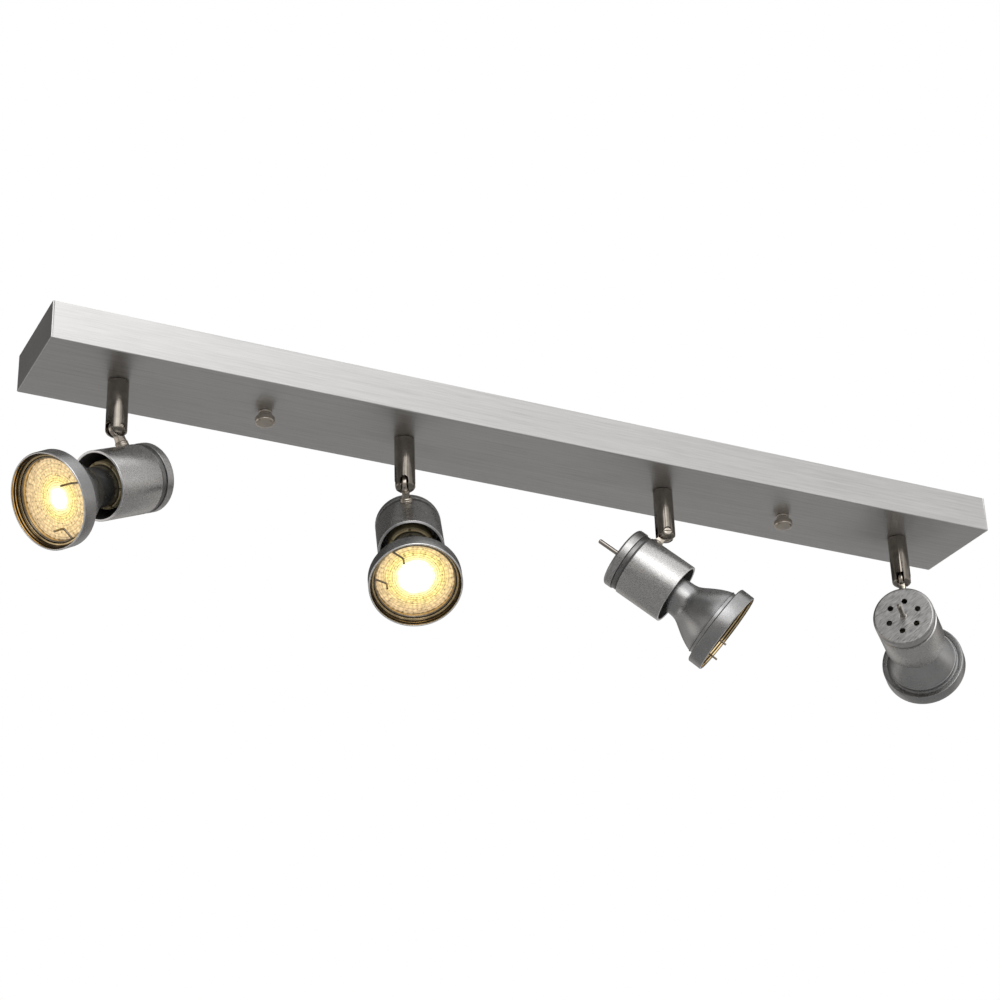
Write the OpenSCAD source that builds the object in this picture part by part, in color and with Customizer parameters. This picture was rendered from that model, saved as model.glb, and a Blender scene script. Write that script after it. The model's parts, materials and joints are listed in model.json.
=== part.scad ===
// Ceiling spot bar: a long folded canopy on a ceiling bracket, with four
// swivelling stems that each carry a tilting spot head for a twist-lock lamp.
// Frame: +Z up, +X along the bar, -Y the front. The origin is the centre of
// the ceiling plane, so the whole bar hangs below z = 0.

/* [Canopy] */
// Length of the canopy along the bar
canopy_length = 665; // [640:5:720]
// Width of the canopy from front to back
canopy_width = 70; // [64:1:90]
// Height of the canopy below the ceiling
canopy_height = 25; // [25:1:32]
// Thickness of the folded sheet
canopy_sheet = 1.2; // [0.8:0.1:2]
// Radius of the folded outer edges
canopy_edge = 0.6; // [0.2:0.1:1]

/* [Stems] */
// Distance from one stem to the next
stem_pitch = 187; // [184:1:190]
// Outer diameter of a stem
stem_d = 13; // [12:0.5:16]
// Diameter of the wire way through a stem
stem_bore_d = 7; // [5:0.5:8]
// Diameter of the threaded nipple on top of a stem
nipple_d = 9.8; // [9:0.1:10]
// Drop from the canopy's underside to the tilt pivot
pivot_drop = 31.7; // [30:0.1:36]
// Length of the fork below the tilt pivot
fork_tip = 4.6; // [4:0.1:5]
// Width of the slot between the fork's ears
slot_width = 5; // [5:0.1:6]

/* [Pose] */
// Swivel of each head about its stem, in degrees from +X
head_pan = [-161.3, -119.3, -14.2, 45.2]; // [-265:0.1:85]
// Tilt of each head below the horizontal, in degrees
head_tilt = [27.2, 49.3, 39.8, 0.7]; // [-20:0.1:85]
// Twist of each housing about the foot of its knuckle, in degrees
head_twist = [3.4, 5.7, -7.9, 0]; // [-10:0.1:10]
// Droop of the lamp, its holder and its shade inside the housing, in degrees
lamp_droop = 4.6; // [0:0.1:5]
// Direction of each lamp's droop about the head's axis, 0 is down, in degrees
droop_turn = [0, 0, 88, 0]; // [-180:1:180]
// Turn of each retaining wire's open gap about the head, in degrees
wire_turn = [-42, 145, 264, 40]; // [-180:1:360]
// Open angle between the two ends of each retaining wire, in degrees
wire_gap = [90, 51, 50, 50]; // [30:1:100]
// How far the prongs of each retaining wire stand in front of the bezel
prong_reach = [2.4, 0.8, 4.6, 5]; // [0.5:0.1:8]

/* [Housing] */
// Distance from the tilt pivot to the axis of the housing
axis_drop = 32.3; // [32:0.1:36]
// Outer diameter of the housing and of its rear cap
housing_d = 41.8; // [40:0.2:42]
// Thickness of the housing's wall
housing_wall = 1.5; // [1:0.1:2]
// Length of the housing in front of the knuckle's foot
housing_front = 31.2; // [30:0.2:32]
// Length of the housing behind the knuckle's foot
housing_rear = 6.2; // [6:0.1:7]
// Length of the shallow turned band at the housing's rear end
band_length = 3.6; // [3:0.1:4.5]
// Thickness of the rear cap behind the housing
cap_length = 6.2; // [5.5:0.1:7]
// Diameter of the aiming pin
pin_d = 3; // [2.5:0.1:3.5]
// Length of the aiming pin behind the rear cap
pin_length = 18.2; // [16:0.2:20]
// Number of vent holes in the rear cap
vent_count = 6; // [4:1:8]
// Diameter of a vent hole
vent_d = 4; // [3:0.1:4.5]
// Turn of the ring of vents about the axis, in degrees
vent_turn = 9.5; // [0:0.5:60]

/* [Shade and bezel] */
// Outer diameter of the shade's neck
neck_d = 24; // [23.6:0.1:24.4]
// Outer diameter of the shade's rim
rim_d = 48; // [47:0.1:48]
// Wall thickness of the shade
shade_wall = 1; // [0.8:0.1:1.2]
// Outer diameter of the bezel ring
bezel_d = 57.2; // [56.4:0.2:60]
// Length of the bezel ring along the head's axis
bezel_length = 10; // [9.6:0.2:11]
// Diameter of the spring wire that retains the lamp
wire_d = 1.4; // [1:0.1:1.4]

/* [Lamp] */
// Diameter of the lamp's front rim
lamp_d = 50; // [49:0.1:50.2]
// Distance between the lamp's two twist-lock pins
lamp_pin_pitch = 10; // [9:0.5:10]

/* [Ceiling bracket] */
// Length of the bracket
bracket_length = 600; // [560:5:620]
// Width of the bracket
bracket_width = 50; // [46:1:56]
// Thickness of the bracket's sheet
bracket_sheet = 1.5; // [1:0.1:2]
// Height of the bracket's folded side flanges
bracket_flange = 8; // [5:0.5:10]
// Distance between the ceiling screw slots along the bar
slot_pitch_x = 480; // [440:5:500]
// Distance between the ceiling screw slots across the bar
slot_pitch_y = 24; // [20:1:30]
// Distance between the two threaded studs
stud_pitch = 374; // [368:2:380]
// Diameter of a threaded stud
stud_d = 5; // [4:0.5:5]

/* [Hidden] */
HEADS = [1, 2, 3, 4];
PER_HEAD = ["stem", "stem_nut", "pivot_screw", "knuckle", "knuckle_nut", "housing", "rear_cap",
            "aiming_pin", "lamp_holder", "shade", "bezel", "lamp", "retaining_wire"];
SHARED = ["canopy", "mounting_bracket", "bracket_studs", "thumb_nuts", "terminal_block",
          "earth_screw", "wiring", "stem_washers"];

$fn = 96;
eps = 0.01;
run_gap = 0.05;         // radial clearance of a shaft that turns in a hole
thread_gap = 0.02;      // radial clearance of a screwed joint
face_gap = 0.1;         // gap between faces that slide on each other

underside = -canopy_height;
floor_top = underside + canopy_sheet;
stem_r = stem_d / 2;
nipple_r = nipple_d / 2;
stem_bore_r = stem_bore_d / 2;
washer_top = floor_top + 1;
nut_bottom = washer_top + face_gap;
nut_height = 3.5;
nipple_top = nut_bottom + nut_height + 1.5;

pivot_r = 1.5;
screw_head_r = 2.9;
screw_head_h = 1.4;
tongue_t = slot_width - 0.6;
eye_r = 3.8;
eye_crown_r = 4.9;
eye_crown_t = 2.4;
tongue_w = 6.4;
foot_r = 4;
foot_h = 3.6;
seat_depth = 0.1;         // depth of the housing's flat seat for the foot
stub_r = 2.5;
knuckle_nut_h = 3;

housing_r = housing_d / 2;
bore_r = housing_r - housing_wall;
band_step = 0.45;
cap_back = -housing_rear - cap_length;
cap_face_t = 2.5;
cap_floor = cap_back + cap_face_t;
vent_circle_r = 10.7;
pin_r = pin_d / 2;

droop_at = 22;
holder_r = 14.5;
holder_body_r = 11;
holder_front = 27;
holder_step = 15;
holder_floor = 17;
boss_r = 4.5;

neck_r = neck_d / 2;
rim_r = rim_d / 2;
neck_end = 40;
fillet_end = 42.5;
fillet_rise = 1.5;
bezel_back = 62.9;
bezel_front = bezel_back + bezel_length;
bezel_seat_t = 1.3;
shade_front = bezel_back + bezel_seat_t;
bell_power = 1.6;
bell_steps = 12;
bezel_r = bezel_d / 2;
bezel_bore_r = lamp_d / 2 + 0.3;
lamp_rim_t = 2.5;
lamp_front = shade_front + lamp_rim_t;
lamp_gap = 0.4;
wire_r = wire_d / 2;
wire_ring_r = bezel_bore_r - wire_r - 0.1;
wire_at = lamp_front + wire_r + 0.1;
prong_r = 17.2;
prong_lean = 9;           // angle by which a wire's inward legs lean back over the ring

stud_r = stud_d / 2;
thumb_collar_r = 4.3;
thumb_collar_h = 4.3;
thumb_head_r = 6.2;
thumb_head_h = 5.2;
lead_r = 1.1;
earth_x = 46;
earth_r = 2;
block_length = 30;
block_width = 22;
block_height = 12;

function stem_x(i) = (i - 2.5) * stem_pitch;

// Outer radius of the shade's bell at the distance s along the head's axis
function bell_r(s) = let (t = (shade_front - s) / (shade_front - fillet_end))
    neck_r + fillet_rise + (rim_r - neck_r - fillet_rise) * (1 - pow(t, bell_power));

// Points of the bell's outline from the fillet to the rim, inset by a wall thickness
function bell(inset) = [for (k = [0 : bell_steps])
    let (s = fillet_end + (shade_front - fillet_end) * k / bell_steps) [bell_r(s) - inset, s]];

// Places its children in the frame of stem i: origin at the pivot, +X where the head points
module at_pivot(i) {
    translate([stem_x(i), 0, underside - pivot_drop]) rotate([0, 0, head_pan[i - 1]]) children();
}

// Places its children in the frame of knuckle i: +X along the head, +Z towards the pivot
module at_knuckle(i) {
    at_pivot(i) rotate([0, head_tilt[i - 1], 0]) translate([0, 0, -axis_drop]) children();
}

// Places its children in the frame of housing i: +X is the housing's own axis
module at_head(i) {
    at_knuckle(i) rotate([0, 0, head_twist[i - 1]]) children();
}

// Places its children on the drooping axis of the lamp in housing i
module at_lamp(i) {
    turn = droop_turn[i - 1];
    at_head(i) rotate([turn, 0, 0]) translate([droop_at, 0, 0]) rotate([0, lamp_droop, 0])
        translate([-droop_at, 0, 0]) rotate([-turn, 0, 0]) children();
}

// Turns a shape made along Z so that it lies along +X
module lathe() {
    rotate([90, 0, 90]) children();
}

// Solid of revolution along +X from [radius, distance] points
module turned(points) {
    lathe() rotate_extrude() polygon(points);
}

// Cylinder along +X
module rod(r, from, to) {
    translate([from, 0, 0]) rotate([0, 90, 0]) cylinder(r = r, h = to - from);
}

// Slot with round ends along X, cut downwards from z = 0
module slot(length, width, depth) {
    for (side = [-1, 1]) translate([side * (length - width) / 2, 0, -depth])
        cylinder(d = width, h = depth + eps);
    translate([-(length - width) / 2, -width / 2, -depth]) cube([length - width, width, depth + eps]);
}

// Tube with flat ends swept along a list of points
module lead(route, r) {
    sides = 8;
    count = len(route);
    function heading(k) = let (d = route[min(k + 1, count - 1)] - route[max(k - 1, 0)]) d / norm(d);
    function across(k) = let (a = cross(heading(k), [0, 1, 0])) a / norm(a);
    points = [for (k = [0 : count - 1], j = [0 : sides - 1])
        let (a = across(k), b = cross(heading(k), a), turn = 360 * j / sides)
        route[k] + r * (cos(turn) * a + sin(turn) * b)];
    walls = [for (k = [0 : count - 2], j = [0 : sides - 1])
        let (next = (j + 1) % sides)
        [k * sides + j, k * sides + next, (k + 1) * sides + next, (k + 1) * sides + j]];
    first = [for (j = [sides - 1 : -1 : 0]) j];
    last = [for (j = [0 : sides - 1]) (count - 1) * sides + j];
    polyhedron(points, concat([first], walls, [last]));
}

// ---- Pieces of the bar ----

// Folded sheet box, open to the ceiling
module canopy() {
    inner_length = canopy_length - 2 * canopy_sheet;
    inner_width = canopy_width - 2 * canopy_sheet;
    color([0.71, 0.71, 0.72]) difference() {
        intersection() {
            translate([-canopy_length / 2, 0, 0]) rotate([90, 0, 90])
                linear_extrude(canopy_length) chamfered_outline(canopy_width);
            translate([0, canopy_width / 2, 0]) rotate([90, 0, 0])
                linear_extrude(canopy_width) chamfered_outline(canopy_length);
        }
        translate([-inner_length / 2, -inner_width / 2, floor_top])
            cube([inner_length, inner_width, canopy_height]);
        for (i = HEADS) translate([stem_x(i), 0, underside - eps])
            cylinder(r = nipple_r + run_gap, h = canopy_sheet + 2 * eps);
        for (side = [-1, 1]) translate([side * stud_pitch / 2, 0, underside - eps])
            cylinder(r = stud_r + 0.3, h = canopy_sheet + 2 * eps);
    }
}

// Cross-section of the canopy with its two lower edges eased
module chamfered_outline(width) {
    half = width / 2;
    polygon([[-half, 0], [-half, underside + canopy_edge], [-half + canopy_edge, underside],
             [half - canopy_edge, underside], [half, underside + canopy_edge], [half, 0]]);
}

// Ceiling plate with two folded flanges, screw slots, a cable hole and stud holes
module mounting_bracket() {
    cable_hole_r = 8;
    cable_hole_x = -50;
    depth = bracket_sheet + bracket_flange;
    through = bracket_sheet + 2 * eps;
    color([0.62, 0.63, 0.64]) difference() {
        translate([-bracket_length / 2, -bracket_width / 2, -depth])
            cube([bracket_length, bracket_width, depth]);
        translate([-bracket_length / 2 - eps, bracket_sheet - bracket_width / 2, -depth - eps])
            cube([bracket_length + 2 * eps, bracket_width - 2 * bracket_sheet, bracket_flange + eps]);
        for (x = [-1, 1], y = [-1, 1])
            translate([x * slot_pitch_x / 2, y * slot_pitch_y / 2, eps]) slot(14, 5, through);
        translate([cable_hole_x, 0, -bracket_sheet - eps]) cylinder(r = cable_hole_r, h = through);
        for (side = [-1, 1]) translate([side * stud_pitch / 2, 0, -bracket_sheet - eps])
            cylinder(r = stud_r + thread_gap, h = through);
        translate([earth_x, 0, -bracket_sheet - eps]) cylinder(r = earth_r + thread_gap, h = through);
    }
}

// Two threaded studs with a clinched shoulder under the bracket
module bracket_studs() {
    shoulder_h = 2;
    stud_tip = underside - thumb_collar_h - thumb_head_h + 2.5;
    color([0.8, 0.78, 0.72]) for (side = [-1, 1]) translate([side * stud_pitch / 2, 0, 0]) {
        translate([0, 0, stud_tip]) cylinder(r = stud_r, h = -stud_tip);
        translate([0, 0, -bracket_sheet - shoulder_h]) cylinder(r = stud_r + 1.8, h = shoulder_h);
    }
}

// Two stepped cap nuts that hold the canopy up
module thumb_nuts() {
    bore_h = thumb_collar_h + thumb_head_h - 2;
    edge = 0.6;
    disc_top = -thumb_collar_h;
    disc_bottom = disc_top - thumb_head_h;
    color([0.8, 0.76, 0.7]) for (side = [-1, 1]) translate([side * stud_pitch / 2, 0, underside])
        difference() {
            rotate_extrude() polygon([[0, 0], [thumb_collar_r, 0], [thumb_collar_r, disc_top],
                [thumb_head_r - edge, disc_top], [thumb_head_r, disc_top - edge],
                [thumb_head_r, disc_bottom + 1.4], [thumb_head_r - 1.2, disc_bottom + 0.3],
                [thumb_head_r - 2.4, disc_bottom], [0, disc_bottom]]);
            translate([0, 0, -bore_h]) cylinder(r = stud_r + thread_gap, h = bore_h + eps);
        }
}

// Three-pole terminal block under the middle of the bracket
module terminal_block() {
    pole_pitch = 7;
    entry = 3.6;
    top = -bracket_sheet;
    color([0.93, 0.91, 0.85]) difference() {
        translate([-block_length / 2, -block_width / 2, top - block_height])
            cube([block_length, block_width, block_height]);
        for (pole = [-1 : 1], end = [-1, 1]) {
            translate([end * 9 - entry / 2, pole * pole_pitch - entry / 2, top - block_height - eps])
                cube([entry, entry, 3]);
        }
        for (pole = [-0.5, 0.5])
            translate([-block_length / 2 - eps, pole * pole_pitch - 0.6, top - block_height - eps])
                cube([block_length + 2 * eps, 1.2, 2]);
    }
}

// Earth screw with its cup washer under the bracket
module earth_screw() {
    head_h = 2.4;
    washer_h = 1;
    color([0.82, 0.8, 0.45]) translate([earth_x, 0, -bracket_sheet]) {
        cylinder(r = earth_r, h = bracket_sheet - face_gap);
        translate([0, 0, -washer_h]) cylinder(r = 5, h = washer_h);
        difference() {
            translate([0, 0, -washer_h - head_h]) cylinder(r = 3.8, h = head_h + eps);
            translate([-4, -0.5, -washer_h - head_h - eps]) cube([8, 1, 1.2]);
        }
    }
}

// Routes of one lead to an inner and to an outer stem, on the +X side of the block
function inner_route(y) = [[15, 3 * y, -9], [30, 3 * y, -9], [60, 2 * y, -9], [78, 1.4 * y, -9],
    [87, 1.4 * y, -10], [92, 1.4 * y, -13], [93.5, 1.4 * y, -17], [93.5, 1.4 * y, -22]];
function outer_route(y) = [[15, 7 * y, -9], [40, 7 * y, -9], [100, 8 * y, -9], [160, 8 * y, -9],
    [187, 8 * y, -9], [214, 8 * y, -9], [246, 5.5 * y, -9], [266, 1.8 * y, -9],
    [274, 1.4 * y, -10], [279, 1.4 * y, -13], [280.5, 1.4 * y, -17], [280.5, 1.4 * y, -22]];

// Pairs of leads from the terminal block into the stems
module wiring() {
    color([0.35, 0.2, 0.15]) for (end = [0, 1], y = [-1, 1]) mirror([end, 0, 0]) {
        lead(inner_route(y), lead_r);
        lead(outer_route(y), lead_r);
    }
}

// Friction washers on the canopy's floor, round the four nipples
module stem_washers() {
    color([0.7, 0.7, 0.7]) for (i = HEADS) translate([stem_x(i), 0, floor_top]) difference() {
        cylinder(r = 9, h = washer_top - floor_top);
        translate([0, 0, -eps]) cylinder(r = nipple_r + run_gap, h = washer_top - floor_top + 2 * eps);
    }
}

// ---- Pieces of one stem ----

// Tube with a threaded nipple above and a slotted fork below
module stem(i) {
    top = pivot_drop - face_gap;
    nipple_length = nipple_top - underside + face_gap;
    ease = 2.4;
    roof = 3;
    color([0.72, 0.69, 0.64]) at_pivot(i) difference() {
        union() {
            rotate_extrude() polygon([[0, top], [0, -fork_tip], [stem_r - ease, -fork_tip],
                [stem_r - 0.7, -fork_tip + 1.5], [stem_r, -fork_tip + 3.4],
                [stem_r, top - 0.3], [stem_r - 0.3, top]]);
            translate([0, 0, top - eps]) cylinder(r = nipple_r, h = nipple_length + eps);
        }
        translate([0, 0, roof]) cylinder(r = stem_bore_r, h = 2 * canopy_height + pivot_drop);
        translate([-stem_r - 1, -slot_width / 2, -fork_tip - 1])
            cube([2 * stem_r + 2, slot_width, fork_tip + 1 + roof]);
        translate([-stem_r - 1, 0, roof]) rotate([0, 90, 0])
            cylinder(d = slot_width, h = 2 * stem_r + 2);
        translate([0, stem_r + 1, 0]) rotate([90, 0, 0])
            cylinder(r = pivot_r + thread_gap, h = 2 * stem_r + 2);
        translate([0, -stem_r - 1, 0]) rotate([-90, 0, 0])
            cylinder(r = screw_head_r + run_gap, h = 1 + screw_head_h + 0.4);
    }
}

// Hexagon nut that holds the stem's nipple in the canopy
module stem_nut(i) {
    across_corners = 16;
    color([0.75, 0.72, 0.6]) translate([stem_x(i), 0, nut_bottom]) rotate([0, 0, head_pan[i - 1]])
        difference() {
            cylinder(d = across_corners, h = nut_height, $fn = 6);
            translate([0, 0, -eps]) cylinder(r = nipple_r + thread_gap, h = nut_height + 2 * eps);
        }
}

// Slotted screw across the fork, the tilt pivot
module pivot_screw(i) {
    head_out = stem_r - 0.4;
    color([0.85, 0.84, 0.8]) at_pivot(i) difference() {
        union() {
            translate([0, -head_out + eps, 0]) rotate([-90, 0, 0])
                cylinder(r = pivot_r, h = head_out + stem_r - 0.5);
            translate([0, -head_out, 0]) rotate([-90, 0, 0]) cylinder(r = screw_head_r, h = screw_head_h);
        }
        translate([-screw_head_r - 1, -head_out - eps, -0.35]) cube([2 * screw_head_r + 2, 0.6, 0.7]);
    }
}

// ---- Pieces of one head ----

// Flat tongue with an eye round the pivot and a round threaded foot in the housing
module knuckle(i) {
    seat = housing_r - seat_depth;
    foot_bottom = housing_r - 0.5;
    stub_bottom = bore_r - knuckle_nut_h - 1.6;
    color([0.74, 0.68, 0.6]) at_knuckle(i) difference() {
        union() {
            translate([0, 0, axis_drop]) rotate([90, 0, 0]) rotate_extrude()
                polygon([[0, -tongue_t / 2], [eye_r, -tongue_t / 2], [eye_crown_r, -eye_crown_t / 2],
                    [eye_crown_r, eye_crown_t / 2], [eye_r, tongue_t / 2], [0, tongue_t / 2]]);
            translate([-tongue_w / 2, -tongue_t / 2, foot_bottom + foot_h - eps])
                cube([tongue_w, tongue_t, axis_drop - foot_bottom - foot_h]);
            translate([0, 0, seat]) cylinder(r = foot_r, h = foot_bottom + foot_h - seat);
            translate([0, 0, stub_bottom]) cylinder(r = stub_r, h = seat - stub_bottom + eps);
        }
        translate([0, tongue_t / 2 + 1, axis_drop]) rotate([90, 0, 0])
            cylinder(r = pivot_r + run_gap, h = tongue_t + 2);
    }
}

// Hexagon nut that holds the knuckle's foot from inside the housing
module knuckle_nut(i) {
    nut_top = bore_r - 0.6;
    color([0.75, 0.72, 0.6]) at_knuckle(i) translate([0, 0, nut_top - knuckle_nut_h]) difference() {
        cylinder(d = 9, h = knuckle_nut_h, $fn = 6);
        translate([0, 0, -eps]) cylinder(r = stub_r + thread_gap, h = knuckle_nut_h + 2 * eps);
    }
}

// Thin tube with a shallow turned band at its rear end
module housing(i) {
    band_r = housing_r - band_step;
    band_front = -housing_rear + band_length;
    color([0.62, 0.62, 0.63]) at_head(i) difference() {
        turned([[bore_r, -housing_rear], [band_r, -housing_rear], [band_r, band_front],
            [housing_r, band_front + 0.2], [housing_r, housing_front - 0.3],
            [housing_r - 0.3, housing_front], [bore_r, housing_front]]);
        translate([0, 0, bore_r - 3]) cylinder(r = stub_r + thread_gap, h = housing_wall + 6);
        // flat seat under the knuckle's foot
        translate([0, 0, housing_r - seat_depth]) cylinder(r = foot_r, h = 1);
    }
}

// Turned cap with vent holes, a central bore and a spigot inside the housing
module rear_cap(i) {
    wall = 1.8;
    spigot_r = bore_r - run_gap;
    spigot_end = -housing_rear + 3.4;
    color([0.68, 0.68, 0.69]) at_head(i) difference() {
        turned([[0, cap_back], [housing_r - 1.4, cap_back], [housing_r - 0.5, cap_back + 0.4],
            [housing_r, cap_back + 1.3], [housing_r, -housing_rear - 0.2],
            [housing_r - 0.2, -housing_rear], [spigot_r, -housing_rear], [spigot_r, spigot_end],
            [spigot_r - wall, spigot_end], [spigot_r - wall, cap_floor], [0, cap_floor]]);
        for (k = [0 : vent_count - 1]) rotate([90 + vent_turn + 360 * k / vent_count, 0, 0])
            translate([0, vent_circle_r, 0]) rod(vent_d / 2, cap_back - 1, cap_floor + 1);
        rod(pin_r + thread_gap, cap_back - 1, cap_floor + 1);
        // notch that leaves room for the knuckle's nut
        translate([-housing_rear + eps, -6.5, bore_r - 8]) cube([10, 13, 10]);
    }
}

// Turned pin for aiming the head by hand
module aiming_pin(i) {
    tip = cap_back - pin_length;
    ease = 0.3;
    color([0.8, 0.76, 0.7]) at_head(i) turned([[0, tip], [pin_r - ease, tip], [pin_r, tip + ease],
        [pin_r, cap_floor + 5], [0, cap_floor + 5]]);
}

// Ceramic socket with a collar round the shade's neck and a boss against the rear cap
module lamp_holder(i) {
    collar_r = neck_r + 0.3;
    key_r = 2.9;
    color([0.85, 0.8, 0.66]) difference() {
        union() {
            at_lamp(i) turned([[0, 1], [holder_body_r, 1], [holder_body_r, holder_step],
                [holder_r, holder_step], [holder_r, holder_front], [collar_r, holder_front],
                [collar_r, holder_floor], [0, holder_floor]]);
            at_head(i) rod(boss_r, cap_floor, 4);
        }
        at_head(i) rod(pin_r + thread_gap, cap_floor - 1, cap_floor + 6);
        at_lamp(i) for (side = [-1, 1]) translate([0, side * lamp_pin_pitch / 2, 0])
            rod(key_r, 8, holder_floor + 1);
    }
}

// Spun bell with a plain neck that reaches into the lamp holder
module shade(i) {
    neck_back = holder_floor + 1;
    color([0.6, 0.6, 0.61]) at_lamp(i) turned(concat(
        [[neck_r - shade_wall, neck_back], [neck_r, neck_back], [neck_r, neck_end],
         [neck_r + 0.4, neck_end + 1.5]],
        bell(0),
        [for (k = [bell_steps : -1 : 0]) bell(shade_wall)[k] + [0, k == bell_steps ? 0 : 0.4]],
        [[neck_r - shade_wall, neck_end + 1]]));
}

// Stepped ring round the lamp's front rim
module bezel(i) {
    seat_r = rim_r + run_gap;
    mouth_r = bezel_r - 1;
    middle_r = bezel_r - 1.6;
    inner_r = bezel_r - 2.3;
    color([0.64, 0.64, 0.65]) at_lamp(i) turned([[seat_r, bezel_back], [bezel_r - 0.9, bezel_back],
        [bezel_r, bezel_back + 0.9], [bezel_r, bezel_front - 0.3], [bezel_r - 0.3, bezel_front],
        [mouth_r + 0.2, bezel_front], [mouth_r, bezel_front - 0.2], [mouth_r, bezel_front - 2],
        [middle_r, bezel_front - 2], [middle_r, bezel_front - 3.4], [inner_r, bezel_front - 3.4],
        [inner_r, bezel_front - 4.2], [bezel_bore_r, bezel_front - 4.2],
        [bezel_bore_r, shade_front], [seat_r, shade_front]]);
}

// Sealed reflector lamp: front rim, reflector body, ceramic base and two pins
module lamp(i) {
    body_r = neck_r - shade_wall - lamp_gap;
    base_back = holder_floor + 0.2;
    inset = shade_wall + lamp_gap;
    lens_r = lamp_d / 2 - 0.9;
    lens_depth = 0.8;
    color([0.95, 0.85, 0.55]) at_lamp(i) {
        turned(concat(
            [[0, base_back], [body_r - 0.8, base_back], [body_r, base_back + 0.8],
             [body_r, neck_end + 1.6]],
            [for (k = [1 : bell_steps]) bell(inset)[k] + [0, k == bell_steps ? -0.3 : 0.4]],
            [[rim_r - inset, shade_front], [lamp_d / 2, shade_front + 0.1], [lamp_d / 2, lamp_front - 0.5],
             [lamp_d / 2 - 0.5, lamp_front], [lens_r + 0.2, lamp_front], [lens_r, lamp_front - lens_depth],
             [0, lamp_front - lens_depth]]));
        for (side = [-1, 1]) translate([0, side * lamp_pin_pitch / 2, 0]) {
            rod(1.5, base_back - 6, base_back + eps);
            rod(2.5, base_back - 8, base_back - 5.5);
        }
    }
}

// Open spring ring whose ends turn inwards and then forwards as two prongs
module retaining_wire(i) {
    half_gap = wire_gap[i - 1] / 2;
    prong_length = bezel_front + prong_reach[i - 1] - wire_at;
    color([0.55, 0.53, 0.5])
    at_lamp(i) rotate([wire_turn[i - 1], 0, 0]) lathe() translate([0, 0, wire_at]) {
        rotate([0, 0, half_gap]) rotate_extrude(angle = 360 - 2 * half_gap)
            translate([wire_ring_r, 0]) circle(r = wire_r);
        for (end = [-1, 1]) {
            start = wire_ring_r * [cos(half_gap), end * sin(half_gap), 0];
            bend = prong_r * [cos(half_gap + prong_lean), end * sin(half_gap + prong_lean), 0];
            leg = start - bend;
            translate(start) rotate([0, 0, end * half_gap]) rotate([90, 0, 0]) sphere(r = wire_r + eps);
            translate(bend) sphere(r = wire_r + eps);
            // The leg is a hair thinner than the wire, so that both corners swallow its ends
            translate(bend) rotate([0, 90, atan2(leg.y, leg.x)])
                cylinder(r = wire_r - eps, h = norm(leg));
            translate(bend) cylinder(r = wire_r, h = prong_length);
        }
    }
}

canopy();
mounting_bracket();
bracket_studs();
thumb_nuts();
terminal_block();
earth_screw();
wiring();
stem_washers();
for (i = HEADS) {
    stem(i);
    stem_nut(i);
    pivot_screw(i);
    knuckle(i);
    knuckle_nut(i);
    housing(i);
    rear_cap(i);
    aiming_pin(i);
    lamp_holder(i);
    shade(i);
    bezel(i);
    lamp(i);
    retaining_wire(i);
}
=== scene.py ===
"""Looks of a ceiling spot bar: a brushed canopy with four swivelling, tilting spot heads."""

import json
import math

import bmesh
import bpy
import numpy as np
from mathutils import Matrix, Vector


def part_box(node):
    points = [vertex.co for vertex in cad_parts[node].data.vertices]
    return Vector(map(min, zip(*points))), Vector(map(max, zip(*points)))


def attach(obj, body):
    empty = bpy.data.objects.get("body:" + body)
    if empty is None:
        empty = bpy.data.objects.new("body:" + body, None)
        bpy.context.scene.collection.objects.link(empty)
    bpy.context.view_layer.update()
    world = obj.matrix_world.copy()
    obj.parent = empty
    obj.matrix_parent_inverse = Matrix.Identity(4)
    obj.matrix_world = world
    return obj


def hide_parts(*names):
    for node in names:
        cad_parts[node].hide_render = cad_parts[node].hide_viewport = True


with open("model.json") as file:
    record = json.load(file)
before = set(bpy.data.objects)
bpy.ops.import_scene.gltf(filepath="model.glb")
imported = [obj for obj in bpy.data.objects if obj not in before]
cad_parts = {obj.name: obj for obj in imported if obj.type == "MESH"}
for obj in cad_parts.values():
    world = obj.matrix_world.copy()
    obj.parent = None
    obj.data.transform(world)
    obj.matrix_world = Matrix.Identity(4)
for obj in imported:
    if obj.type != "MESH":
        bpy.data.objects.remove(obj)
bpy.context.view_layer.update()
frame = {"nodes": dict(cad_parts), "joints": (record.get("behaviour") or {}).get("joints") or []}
NODES = frame["nodes"]
JOINTS = {joint["name"]: joint for joint in frame["joints"]}
HEADS = (1, 2, 3, 4)
MM = 0.001
TINY = 1e-6


# ---------------------------------------------------------------- materials

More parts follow.
